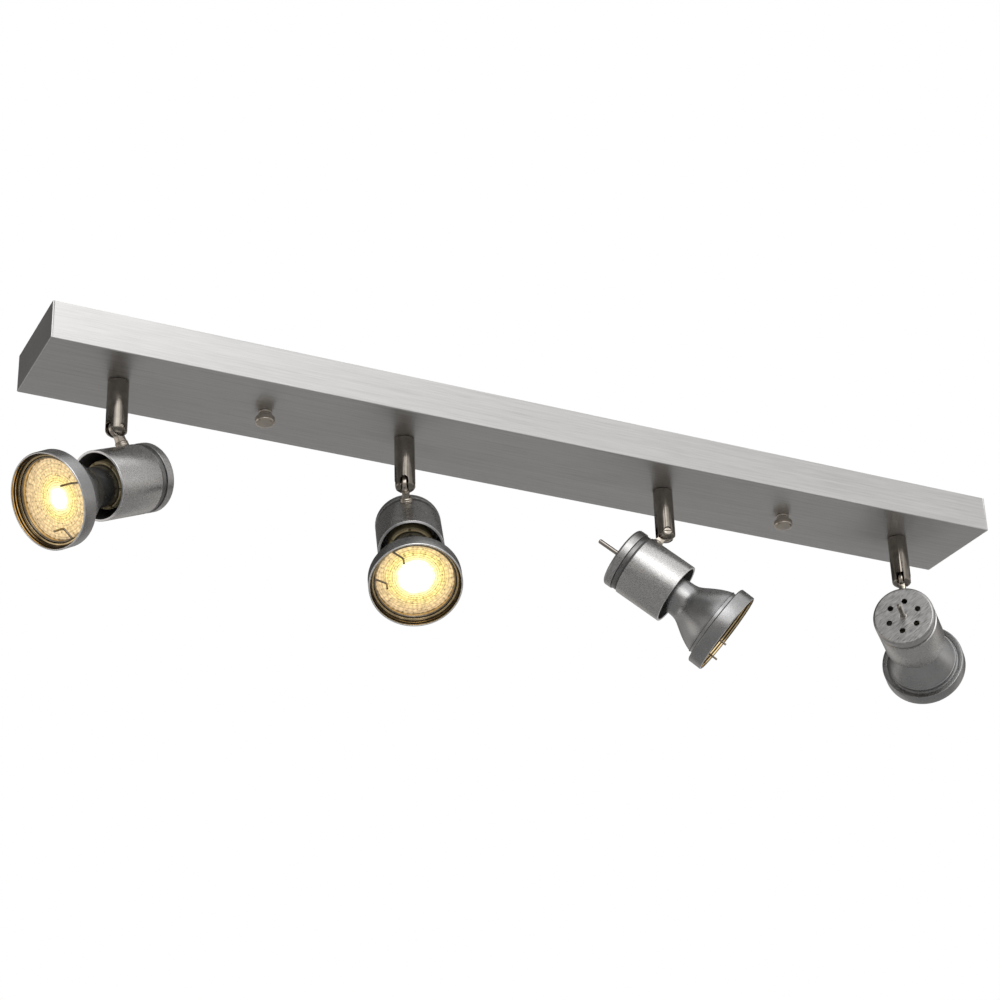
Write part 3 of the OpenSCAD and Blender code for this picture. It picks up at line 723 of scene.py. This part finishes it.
def make_pivot_screw():
    """Slotted screw with a domed head and a rolled end."""
    head, end, shank_r = -(STEM_R - 0.4), STEM_R - 0.55, 1.48
    outline = rounded([
        (head, 0), (head, 1.5), (head + 0.15, 2.4), (head + 0.45, SCREW_HEAD_R), (head + 1.35, SCREW_HEAD_R),
        (head + 1.35, shank_r), (STEM_R - 0.9, shank_r), (end, 1.1), (end, 0)], 0.15)
    screw = lathe("pivot_screw_look", outline, [NICKEL_PAINTED_HIGHLIGHTS], segments=48, axis="Y")
    return cut(screw, [box_cutter((-4, head - 1, -0.4), (4, head + 0.65, 0.4))], bevel=0.06)


def make_hexagon_nut(name, across_corners, bore_r, height):
    """Nut with chamfered corners and a bevelled bore, along Z from its base."""
    corner = across_corners / 2
    flat = corner * math.cos(math.pi / 6)
    nut = lathe(name, [(0, 0), (0, corner), (height, corner), (height, 0)], [ZINC], segments=6, axis="Z")
    ring = [(-1, flat + 5), (-1, flat - 0.6), (0, flat - 0.1), (0.7, flat + 1.2), (height - 0.7, flat + 1.2),
            (height, flat - 0.1), (height + 1, flat - 0.6), (height + 1, flat + 5)]
    chamfer = lathe("cutter", ring, [], segments=64, axis="Z")
    return cut(nut, [rod_cutter(bore_r, -2, height + 2, axis="Z"), chamfer], bevel=0.12)


def make_lamp_holder():
    """Ceramic socket: collar with a stepped lip, grooved body, contact holes and a notched rim."""
    body_r, collar_r, notch_at = 10.95, 14.5, 13.5
    outline = rounded([
        (1.0, 0), (1.0, 10.9), (4.0, body_r), (4.4, 10.5), (5.2, 10.5), (5.6, body_r), (15.0, body_r),
        (15.0, collar_r), (25.6, collar_r), (26.1, 14.1), (27.0, 14.0), (27.0, 12.9), (26.4, 12.4),
        (17.0, 12.35), (17.0, 0)], 0.3)
    holder = lathe("lamp_holder_look", outline, [CERAMIC], segments=96)
    contacts = [rod_cutter(2.9, 8, 20, (side * CONTACT_ASIDE, 0), segments=32) for side in (-1, 1)]
    notches = [rod_cutter(0.9, 24.5, 29, (notch_at * c, notch_at * s), segments=20)
               for c, s in circle(6, math.radians(30))]
    return cut(holder, contacts + notches, bevel=0.12)


def bell_r(distance):
    """Outer radius of the shade: a plain neck that flows into the bell."""
    t = (SHADE_FRONT - distance) / BELL_DEPTH
    bell = BELL_BACK_R + (RIM_R - BELL_BACK_R) * (1 - max(t, 0.0) ** 1.6)
    blended = (NECK_R + bell + math.hypot(NECK_R - bell, FLOW)) / 2
    return min(blended, RIM_R)


def make_shade():
    """Bell with a plain neck and a bead and groove near its rim."""
    steps, bead = 64, 0.3
    bell = [(distance, bell_r(distance)) for distance in np.linspace(NECK_END, SHADE_FRONT, steps)]
    rim = [(distance, bell_r(distance) + raised) for distance, raised in (
        (59.6, 0), (59.8, bead), (60.3, bead), (60.6, -bead), (62.8, -bead), (63.0, 0))]
    outer = [(NECK_BACK, NECK_R), (NECK_BACK + 10, NECK_R)]
    outer += [p for p in bell if p[0] < 59.4] + rim + [(SHADE_FRONT, RIM_R)]
    inner = [(distance, radius - WALL) for distance, radius in reversed(outer)]
    return lathe("shade_look", outer + inner, [SHADE], segments=160)


def make_bezel():
    """Ring with a thin lip made bright as a painted highlight, a stepped bronze inside with painted
    reflection bands and a chamfered rear shoulder.
    """
    front, outer = BEZEL_FRONT, BEZEL_R
    steps_in = [(front - 2.0, outer - 1.0), (front - 2.0, outer - 1.6), (front - 3.4, outer - 1.6),
                (front - 3.4, outer - 2.3), (front - 4.2, outer - 2.3), (front - 4.2, LAMP_R + 0.3)]
    back = [(BEZEL_BACK, RIM_R + 0.06), (BEZEL_BACK, RIM_R + 0.5), (BEZEL_BACK + 0.35, RIM_R + 0.8),
            (BEZEL_BACK, RIM_R + 1.1), (BEZEL_BACK, outer - 0.7), (BEZEL_BACK + 0.7, outer)]
    lip = [(front - 0.45, outer), (front, outer - 0.45), (front, outer - 1.0)]
    seat = [(SHADE_FRONT + 0.02, LAMP_R + 0.3), (SHADE_FRONT + 0.02, RIM_R + 0.06)]
    outline = rounded(back + lip + steps_in + seat, 0.22)
    return lathe("bezel_look", outline, [BEZEL, BRONZE_REFLECTION, EDGE_HIGHLIGHT], segments=192,
                 inner_below=outer - 0.95, inner_beyond=SHADE_FRONT + 0.5, edge_beyond=front - 0.5)


def make_lamp_body():
    """Glass reflector seen from behind, front rim, ceramic base and two stepped pins; all but the pins take
    one gold tint, painted light from the lamp.
    """
    inset = WALL + 0.4
    steps = 24
    outline = [(17.3, 0), (17.3, NECK_R - inset - 0.7), (18.0, NECK_R - inset), (NECK_END, NECK_R - inset)]
    outline += [(distance + 0.4, bell_r(distance) - inset)
                for distance in np.linspace(NECK_END + 1, SHADE_FRONT - 0.5, steps)]
    outline += [(SHADE_FRONT, RIM_R - inset), (SHADE_FRONT + 0.12, LAMP_R), (LAMP_FRONT - 0.4, LAMP_R),
                (LAMP_FRONT, LAMP_R - 0.4), (LAMP_FRONT, LENS_R + 0.2), (LAMP_FRONT - 0.5, LENS_R + 0.02),
                (LAMP_FRONT - 1.6, LENS_R - 0.2), (LAMP_FRONT - 1.6, 0)]
    body = lathe("lamp_body_look", outline, [RIM_LAMPLIGHT])
    pin = rounded([(9.3, 0), (9.3, 2.45), (11.7, 2.45), (11.7, 1.5), (17.4, 1.5), (17.4, 0)], 0.25)
    pins = bmesh.new()
    for side in (-1, 1):
        before = len(pins.verts)
        revolve(pins, pin, 24)
        pins.verts.ensure_lookup_table()
        bmesh.ops.translate(pins, vec=(0, side * CONTACT_ASIDE, 0), verts=pins.verts[before:])
    return joined([body, finished("lamp_pins_look", pins, [ZINC])], "lamp_body_look")


def make_lens(name, material):
    """Front glass: a shallow crown cut in fine steps."""
    rings, sectors = 66, 160
    crown, cut_depth = 0.5, 0.12
    base = LAMP_FRONT - 1.45
    mesh_data = bmesh.new()

    def ring(distance, radius):
        return [mesh_data.verts.new((distance, radius * c, radius * s)) for c, s in circle(sectors)]

    centre = mesh_data.verts.new((base + 0.55, 0, 0))
    rows = []
    for t in (k / rings for k in range(1, rings + 1)):
        radius = LENS_R * t
        rows.append(ring(base + crown * (1 - t * t) + cut_depth * ((radius / RING_PITCH) % 1.0), radius))
    back = ring(base - 0.1, LENS_R)
    for j in range(sectors):
        mesh_data.faces.new([centre, rows[0][j], rows[0][(j + 1) % sectors]])
    for row, after in zip(rows, rows[1:] + [back]):
        for j in range(sectors):
            mesh_data.faces.new([row[j], after[j], after[(j + 1) % sectors], row[(j + 1) % sectors]])
    mesh_data.faces.new(back)
    return finished(name, mesh_data, [material], smooth_angle=25)


def wire_shape(i, place):
    """Turn of the gap, half of the angle between the prongs and their reach, from the CAD piece."""
    local = [place.inverted() @ Vector(p) / MM for p in points(f"retaining_wire_{i}")]
    reach = max(v.x for v in local)
    tips = [v for v in local if v.x > reach - 0.4]
    turn = math.atan2(sum(v.z for v in tips), sum(v.y for v in tips))
    aside = [abs((math.atan2(v.z, v.y) - turn + math.pi) % (2 * math.pi) - math.pi) for v in tips]
    return turn, math.degrees(sum(aside) / len(aside)), reach


def make_retaining_wire(name, half_angle, reach):
    """Open spring ring whose ends lean inwards and then bend forwards as prongs."""
    bend = 1.2
    half_gap = half_angle - PRONG_LEAN
    forward = Vector((1, 0, 0))

    def at(angle, radius):
        angle = math.radians(angle)
        return Vector((WIRE_AT, radius * math.cos(angle), radius * math.sin(angle)))

    def end(sign):
        start, elbow = at(sign * half_gap, WIRE_RING_R), at(sign * half_angle, PRONG_R)
        along_ring = at(sign * (half_gap + 2.5), WIRE_RING_R)
        leg = (elbow - start).normalized()
        return [elbow + forward * (reach - WIRE_AT), elbow + forward * bend,
                elbow + (forward - leg) * bend * 0.3, elbow - leg * bend, start + leg * 0.8,
                start.lerp(along_ring, 0.3), along_ring]

    ring = [at(a, WIRE_RING_R) for a in np.linspace(half_gap + 6, 360 - half_gap - 6, 80)]
    route = end(1) + ring + end(-1)[::-1]
    mesh_data = tube(bmesh.new(), smooth_route(route, 3), WIRE_R, sides=14)
    return finished(name, mesh_data, [SPRING], smooth_angle=50)


def make_holder_leads():
    """Two sleeved leads from the lamp holder's back to the knuckle's hollow foot."""
    mesh_data = bmesh.new()
    for side in (-1, 1):
        route = smooth_route([(1.2, side * 6, 0), (-2.5, side * 6.5, 1), (-5.0, side * 6.0, 5),
                              (-5.2, side * 4, 9.5), (-3.4, side * 2.2, 12.6), (-1.0, side * 1.0, 14.4)], 6)
        tube(mesh_data, route, 0.8, sides=12)
    return finished("holder_leads_look", mesh_data, [LEAD], smooth_angle=60)


# ---------------------------------------------------------------- pieces of the bar

def dress_node(node, material, bevel):
    """Gives a CAD piece its material and eased edges."""
    piece = NODES[node]
    piece.data.materials.clear()
    piece.data.materials.append(material)
    eased(piece, bevel).harden_normals = True


def make_canopy():
    """Folded sheet box: rounded folds, mitred corner seams, a hemmed top edge, drilled holes."""
    low, high = (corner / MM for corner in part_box("canopy"))
    sheet, fold, seam = 1.2, 0.75, 0.12
    stem_hole_r, stud_hole_r = 4.97, 2.8
    centre, half = (low + high) / 2, (high - low) / 2
    mesh_data = bmesh.new()

    def ring(inset, z, corner):
        """A rounded rectangle of points at one height."""
        made = []
        for sx, sy, start in ((1, 1, 0), (-1, 1, 90), (-1, -1, 180), (1, -1, 270)):
            cx = centre.x + sx * (half.x - inset - corner)
            cy = centre.y + sy * (half.y - inset - corner)
            for step in range(5):
                a = math.radians(start + 90 * step / 4)
                made.append(mesh_data.verts.new((cx + corner * math.cos(a), cy + corner * math.sin(a), z)))
        return made

    outer = [ring(0.2, high.z, 0.3), ring(0.0, high.z - 0.2, 0.35)]
    for a in (math.radians(90 * step / 5) for step in range(6)):
        outer.append(ring(fold * (1 - math.cos(a)), low.z + fold * (1 - math.sin(a)), 0.35))
    inner = [ring(sheet - 0.2, high.z, 0.2), ring(sheet, high.z - 0.2, 0.2),
             ring(sheet, low.z + sheet + 0.3, 0.2), ring(sheet + 0.3, low.z + sheet, 0.2)]
    for group in (outer, inner):
        for above, below in zip(group, group[1:]):
            bridge(mesh_data, above, below)
        mesh_data.faces.new(group[-1])
    bridge(mesh_data, outer[0], inner[0])
    canopy = finished("canopy_look", mesh_data, [CANOPY])
    cutters = [rod_cutter(radius, low.z - 2, low.z + 4, (x, 0), axis="Z", segments=segments)
               for radius, places, segments in ((stem_hole_r, STEM_X, 64), (stud_hole_r, STUD_X, 48))
               for x in places]
    for sx in (-1, 1):
        for sy in (-1, 1):
            x = centre.x + sx * (half.x - sheet)
            y = centre.y + sy * half.y
            cutters.append(box_cutter((x - seam / 2, y - 0.25, low.z + fold + 0.2),
                                      (x + seam / 2, y + 0.25, high.z + 1)))
    claim(cut(canopy, cutters), "bar", "canopy_aluminium", "canopy")


def make_thumb_nut():
    """Stepped cap nut: collar, groove, wide head with eased edges and a shallow crown."""
    outline = rounded([
        (0.0, 2.55), (0.0, 4.1), (-0.25, 4.3), (-1.1, 4.3), (-1.35, 4.0), (-1.7, 4.0), (-1.95, 4.3),
        (-4.0, 4.3), (-4.3, 4.6), (-4.35, 5.9), (-4.8, 6.2), (-7.4, 6.2), (-8.3, 5.8), (-8.9, 5.0),
        (-9.2, 4.2), (-9.25, 3.6), (-9.42, 3.2), (-9.5, 2.0), (-9.5, 0), (-7.5, 0), (-7.5, 2.5)], 0.3)
    return lathe("thumb_nut_look", outline, [NICKEL_PAINTED_HIGHLIGHTS], segments=96, axis="Z")


def make_bracket_stud():
    """Threaded stud with its clinched shoulder."""
    crest, root = 2.45, 2.12
    outline = [(-0.05, 0), (-0.05, crest), (-1.5, 2.48), (-1.5, 4.2), (-1.8, 4.3), (-3.3, 4.3), (-3.5, 4.1),
               (-3.5, crest)]
    outline += threads(-4.2, -0.8, 34, [(0, crest), (-0.4, root)])
    outline += [(-31.6, 2.1), (-32.0, 1.8), (-32.0, 0)]
    return lathe("bracket_stud_look", outline, [ZINC], segments=48, axis="Z")


def make_friction_washer():
    """Dished washer with a rolled edge."""
    outline = rounded([(0, 5.05), (0, 8.6), (0.35, 9.0), (0.7, 8.9), (1.0, 8.4), (0.85, 6.5),
                       (1.0, 5.05)], 0.2)
    return lathe("friction_washer_look", outline, [ZINC], segments=64, axis="Z")


def make_terminal_block():
    """Three poles with raised wire funnels, clamping screws and a hole for a centre screw."""
    low, high = (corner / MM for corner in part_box("terminal_block"))
    body = box_cutter(low, high)
    body.name = "terminal_block_look"
    body.data.materials.append(TERMINAL)
    pole_pitch, screw_x, funnel_x = 7, 9, (12, 16)
    ends = [(end, y) for y in (-pole_pitch, 0, pole_pitch) for end in (-1, 1)]
    cutters = [rod_cutter(2.1, low.z - 1, low.z + 4, (end * screw_x, y), axis="Z", segments=24)
               for end, y in ends]
    cutters += [rod_cutter(1.5, *sorted(end * x for x in funnel_x), (y, -9), segments=24) for end, y in ends]
    cutters += [box_cutter((low.x - 1, y - 0.6, low.z - 1), (high.x + 1, y + 0.6, low.z + 2.2))
                for y in (-pole_pitch / 2, pole_pitch / 2)]
    cutters.append(rod_cutter(2.0, low.z - 1, low.z + 3, axis="Z", segments=24))
    cut(body, cutters, bevel=0.3)
    foot, top = low.z + 1.2, low.z + 3.9
    screws = bmesh.new()
    for end, y in ends:
        first = len(screws.verts)
        revolve(screws, [(foot, 0), (foot, 1.5), (foot + 0.3, 1.75), (top, 1.75), (top, 0)], 20)
        screws.verts.ensure_lookup_table()
        part = screws.verts[first:]
        stood(screws, "Z", part)
        bmesh.ops.translate(screws, vec=(end * screw_x, y, 0), verts=part)
    claim(body, "bar", "terminal_plastic", "terminal_block")
    claim(finished("terminal_screws_look", screws, [ZINC]), "bar", "fastener_steel")


def make_wiring():
    """Pairs of sleeved leads on the CAD routes, smoothed."""
    inner = [(14.9, 3, -9), (30, 3, -9), (60, 2, -9), (78, 1.4, -9), (87, 1.4, -10), (92, 1.4, -13),
             (93.5, 1.4, -17), (93.5, 1.4, -22)]
    outer = [(14.9, 7, -9), (40, 7, -9), (100, 8, -9), (160, 8, -9), (187, 8, -9), (214, 8, -9),
             (246, 5.5, -9), (266, 1.8, -9), (274, 1.4, -10), (279, 1.4, -13), (280.5, 1.4, -17),
             (280.5, 1.4, -22)]
    mesh_data = bmesh.new()
    for end in (-1, 1):
        for side in (-1, 1):
            for route in (inner, outer):
                mirrored = [(end * x, side * y, z) for x, y, z in route]
                tube(mesh_data, smooth_route(mirrored, 8), 1.05, sides=12)
    wires = finished("wiring_look", mesh_data, [LEAD], smooth_angle=60)
    claim(wires, "bar", "lead_insulation", "wiring")


# ---------------------------------------------------------------- build

# The shade's copy of the matte finish is a little brighter than the bezel's below: copies that paint how each
# part is lit.
CANOPY, SATIN, SHADE = brushed_canopy(), satin_housing(), matte_shade("matte_shade", 1.05)
# The band's copy of the turned finish is half as bright: painted shade in the recessed band.
TURNED, BAND = turned_metal("turned_metal", 1.0), turned_metal("turned_band_painted_shade", 0.5)
# One nickel in two copies: the darker one on the stems, and one nearly twice as bright on knuckles, screws
# and thumb nuts that paints their highlights.
NICKEL, NICKEL_PAINTED_HIGHLIGHTS = polished_nickel("polished_nickel", 0.92), polished_nickel("nickel_painted_highlights", 1.9)
CERAMIC, ZINC = ceramic(), zinc_steel()
# The bezel's inside is dark bronze with bright gold bands painted on as the lens's reflection.
BEZEL, BRONZE_REFLECTION = matte_shade("matte_bezel", 0.96), bronze_painted_reflection()
SMALL_GLOW = glowing_lens("lens_small_core", SMALL_CORE)
WIDE_GLOW = glowing_lens("lens_wide_core", WIDE_CORE)
TERMINAL = moulded("terminal_plastic", (0.72, 0.70, 0.62), (0.85, 0.83, 0.76))
LEAD = moulded("lead_sleeve", (0.20, 0.10, 0.06), (0.32, 0.17, 0.10))
# Ground steel pin with the faintest drawing lines along it
PIN = plain("straight_pin", dict(size=1.5, stretch=(30, 1, 1), detail=1), (0.36, 0.33, 0.29),
            (0.48, 0.44, 0.40), (0.16, 0.22), metallic=1.0)
# Freshly turned metal on the narrow front edges, made brighter than the rest as a painted highlight along
# them, and the unpolished inside of a tube, dark as painted shade
EDGE_HIGHLIGHT = plain("edge_painted_highlight", dict(size=3), grey(0.78), grey(0.95), (0.25, 0.4), metallic=1.0)
DARK = plain("bore_painted_shade", dict(size=0.5, detail=4), grey(0.10), grey(0.20), (0.45, 0.65), (0.05, 0.5),
             metallic=0.6)
# Drawn wire, straw-tinted by heat
SPRING = plain("spring_steel", dict(size=5), (0.22, 0.19, 0.15), (0.42, 0.36, 0.28), (0.2, 0.38), (0.01, 0.4),
               grain=dict(size=0.15, stretch=(12, 12, 1)), metallic=1.0)
BRASS = plain("brass", dict(size=2), (0.60, 0.44, 0.18), (0.78, 0.62, 0.30), (0.2, 0.35), metallic=1.0)
# The lamp's bright metal rim, tinted by its own light
RIM_LAMPLIGHT = plain("rim_painted_lamplight", dict(size=0.3, stretch=(1, 30, 30)), (0.55, 0.42, 0.22), (0.86, 0.70, 0.42),
             (0.12, 0.3), (0.03, 0.5), metallic=1.0)

STEM_X = [JOINTS[f"swivel_{i}"]["pos_m"][0] / MM for i in HEADS]
UNDERSIDE_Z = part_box("canopy")[0].z / MM
STUD_INSET = 4.3
STUD_X = [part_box("bracket_studs")[0].x / MM + STUD_INSET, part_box("bracket_studs")[1].x / MM - STUD_INSET]
STEM_TOP = UNDERSIDE_Z - 0.1 - JOINTS["tilt_1"]["pos_m"][2] / MM
UP = Vector((0, 0, 1))


def moved(x, y, z):
    """Place of a piece that is only moved, in millimetres."""
    return Matrix.Translation((x * MM, y * MM, z * MM))


def head_places(i):
    """Places of the pieces of head i, by the part that they are made round."""
    head, lamp = head_frames(i)
    tilt = JOINTS[f"tilt_{i}"]
    across, pivot = Vector(tilt["axis"]), Vector(tilt["pos_m"])
    stem = placing(pivot, across.cross(UP), UP)
    stem_nut = stem.copy()
    stem_nut.translation.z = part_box(f"stem_nut_{i}")[0].z
    knuckle_up = (pivot - head.translation).normalized()
    knuckle = placing(head.translation, across.cross(knuckle_up), knuckle_up)
    knuckle_nut = knuckle @ moved(0, 0, BORE_R - 0.6 - KNUCKLE_NUT_HIGH)
    return {"stem": stem, "stem_nut": stem_nut, "knuckle": knuckle, "knuckle_nut": knuckle_nut,
            "head": head, "lamp": lamp}


def dress_bar():
    """The pieces of the bar."""
    make_canopy()
    make_terminal_block()
    make_wiring()
    dress_node("mounting_bracket", ZINC, 0.3)
    dress_node("earth_screw", BRASS, 0.15)
    thumb_nut, stud, washer = make_thumb_nut(), make_bracket_stud(), make_friction_washer()
    for k, x in enumerate(STUD_X, 1):
        install(thumb_nut, f"thumb_nut_{k}", moved(x, 0, UNDERSIDE_Z), "bar", "polished_nickel", "thumb_nuts")
        install(stud, f"bracket_stud_{k}", moved(x, 0, 0), "bar", "fastener_steel", "bracket_studs")
    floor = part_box("stem_washers")[0].z / MM
    for i, x in zip(HEADS, STEM_X):
        install(washer, f"friction_washer_{i}", moved(x, 0, floor), "bar", "fastener_steel", "stem_washers")
    for master in (thumb_nut, stud, washer):
        bpy.data.objects.remove(master)


def dress_heads():
    """The pieces of the four stems and heads, copied from masters that are made once."""
    # Master, its place, body and slot; it is named after the CAD node that it replaces
    masters = {
        "stem": (make_stem(), "stem", "stem", "polished_nickel"),
        "pivot_screw": (make_pivot_screw(), "stem", "stem", "polished_nickel"),
        "stem_nut": (make_hexagon_nut("stem_nut_look", 16, 4.92, 3.5), "stem_nut", "stem", "fastener_steel"),
        "knuckle": (make_knuckle(), "knuckle", "head", "polished_nickel"),
        "knuckle_nut": (make_hexagon_nut("knuckle_nut_look", 9, 2.52, KNUCKLE_NUT_HIGH), "knuckle_nut",
                        "head", "fastener_steel"),
        "housing": (make_housing(), "head", "head", "housing_silver"),
        "rear_cap": (make_rear_cap(), "head", "head", "cap_aluminium"),
        "aiming_pin": (make_aiming_pin(), "head", "head", "polished_nickel"),
        "lamp_holder": (make_lamp_holder(), "lamp", "head", "ceramic"),
        "shade": (make_shade(), "lamp", "head", "shade_silver"),
        "bezel": (make_bezel(), "lamp", "head", "shade_silver"),
        "lamp": (make_lamp_body(), "lamp", "head", "lamp_glass"),
    }
    small_lens, wide_lens = make_lens("small_lens", SMALL_GLOW), make_lens("wide_lens", WIDE_GLOW)
    # Lens of each lamp, and the direction in which its bright core is off centre, in degrees. The lamps are
    # alike: the wide core on lamp 2 and each core's offset paint the beam as it looks from the camera.
    glows = {1: (small_lens, -13), 2: (wide_lens, 69.5), 3: (small_lens, 100), 4: (small_lens, 200)}
    leads = make_holder_leads()
    for i in HEADS:
        places = head_places(i)
        head = f"head_{i}"
        for node, (master, place, body, slot) in masters.items():
            install(master, f"{node}_look_{i}", places[place], f"{body}_{i}", slot, f"{node}_{i}")
        install(leads, f"holder_leads_{i}", places["head"], head, "lead_insulation")
        lens, core_turn = glows[i]
        turn = Matrix.Rotation(math.radians(core_turn), 4, "X")
        install(lens, f"lens_{i}", places["lamp"] @ turn, head, "lamp_glass")
        gap_turn, half_angle, reach = wire_shape(i, places["lamp"])
        wire = make_retaining_wire("wire_master", half_angle, reach)
        install(wire, f"retaining_wire_look_{i}", places["lamp"] @ Matrix.Rotation(gap_turn, 4, "X"), head,
                "spring_steel", f"retaining_wire_{i}")
        bpy.data.objects.remove(wire)
    for master in [small_lens, wide_lens, leads] + [row[0] for row in masters.values()]:
        bpy.data.objects.remove(master)


dress_bar()
dress_heads()


# ---------------------------------------------------------------- stage, light and camera

def make_floor():
    """A plain pale floor a room's height below the ceiling."""
    room_height, half, value = 2.4, 6.0, 0.66
    mesh_data = bmesh.new()
    corners = [(x * half / MM, y * half / MM, -room_height / MM)
               for x, y in ((-1, -1), (1, -1), (1, 1), (-1, 1))]
    mesh_data.faces.new([mesh_data.verts.new(c) for c in corners])
    pale = plain("pale_floor", dict(size=300), grey(value - 0.02), grey(value), Roughness=0.9)
    finished("floor", mesh_data, [pale])


def softbox(name, place, aim, size, power):
    """A rectangular soft light at a place, turned to aim at a point."""
    light = bpy.data.lights.new(name, "AREA")
    light.shape = "RECTANGLE"
    light.size, light.size_y = size
    light.energy = power
    lamp = linked(name, light)
    lamp.location = place
    lamp.rotation_euler = (Vector(aim) - Vector(place)).to_track_quat("-Z", "Y").to_euler()


def toward(turn, height):
    """Direction with that turn from +X and that height, in degrees."""
    turn, height = math.radians(turn), math.radians(height)
    return Vector((math.cos(height) * math.cos(turn), math.cos(height) * math.sin(turn), math.sin(height)))


# Brightness of the studio by the height of the direction: dark ceiling, pale horizon, dim floor
ROOM_BY_HEIGHT = [(-1.0, 0.3), (-0.3, 0.3), (-0.08, 0.5), (0.08, 0.5),
                  (0.25, 0.25), (0.42, 0.1), (1.0, 0.09)]
# Direction, angle of the full light and of its faded edge in degrees, colour, strength
SOFT_LIGHTS = [
    (toward(258, 25), 15, 42, (1.0, 1.0, 1.0), 0.84),
    (toward(244, 18), 3, 24, (1.0, 1.0, 1.0), 0.9),
    (toward(318, 40), 5, 55, (1.0, 1.0, 1.0), 0.55),
    (toward(300, 75), 5, 40, (1.0, 1.0, 1.0), 0.5),
    (toward(152, -8), 3, 22, (1.0, 0.95, 0.9), 0.45),
]


def make_world():
    """White backdrop; the studio itself is dark, with a few broad soft lights in it."""
    world = bpy.data.worlds.new("studio")
    bpy.context.scene.world = world
    world.use_nodes = True
    world.node_tree.nodes.clear()
    tree = Tree(world.node_tree)

    def background(colour, strength=1.0):
        inputs = {"Color": colour, "Strength": strength}
        return tree.node("ShaderNodeBackground", inputs).outputs["Background"]

    direction = tree.node("ShaderNodeTexCoord").outputs["Generated"]
    up = tree.node("ShaderNodeSeparateXYZ", {"Vector": direction}).outputs["Z"]
    walls = [((height + 1) / 2, grey(value, 0.03)) for height, value in ROOM_BY_HEIGHT]
    room = background(tree.ramp(tree.spread(up, 0, 1, at=(-1, 1)), walls))
    for aim, inner, outer, colour, strength in SOFT_LIGHTS:
        facing = tree.node("ShaderNodeVectorMath", {0: direction, 1: aim}, operation="DOT_PRODUCT")
        edges = [math.cos(math.radians(angle)) for angle in (outer, inner)]
        glow = tree.spread(facing.outputs["Value"], 0, strength, edges, "SMOOTHSTEP")
        light = background((*colour, 1), glow)
        room = tree.node("ShaderNodeAddShader", {0: room, 1: light}).outputs["Shader"]
    seen = tree.node("ShaderNodeLightPath").outputs["Is Camera Ray"]
    mix = tree.node("ShaderNodeMixShader", {"Fac": seen, 1: room, 2: background((1, 1, 1, 1))})
    tree.node("ShaderNodeOutputWorld", {"Surface": mix.outputs["Shader"]})


def make_camera():
    """Camera below and to the left of the bar, in front of it, looking up at it."""
    place = Vector((-0.6424, -1.1991, -0.7310))
    ahead = Vector((0.40788, 0.79527, 0.44853))
    right = Vector((0.89649, -0.44193, -0.03167))
    data = bpy.data.cameras.new("camera")
    data.sensor_width = 36
    data.lens = 85.48
    camera = linked("camera", data)
    up = right.cross(ahead)
    camera.matrix_world = Matrix.Translation(place) @ Matrix((right, up, -ahead)).transposed().to_4x4()
    bpy.context.scene.camera = camera


make_floor()
make_world()
make_camera()
softbox("key", (-0.5, -2.0, 1.0), (0, 0, 0), (1.2, 1.0), 4)
bpy.context.scene.view_settings.view_transform = "Standard"
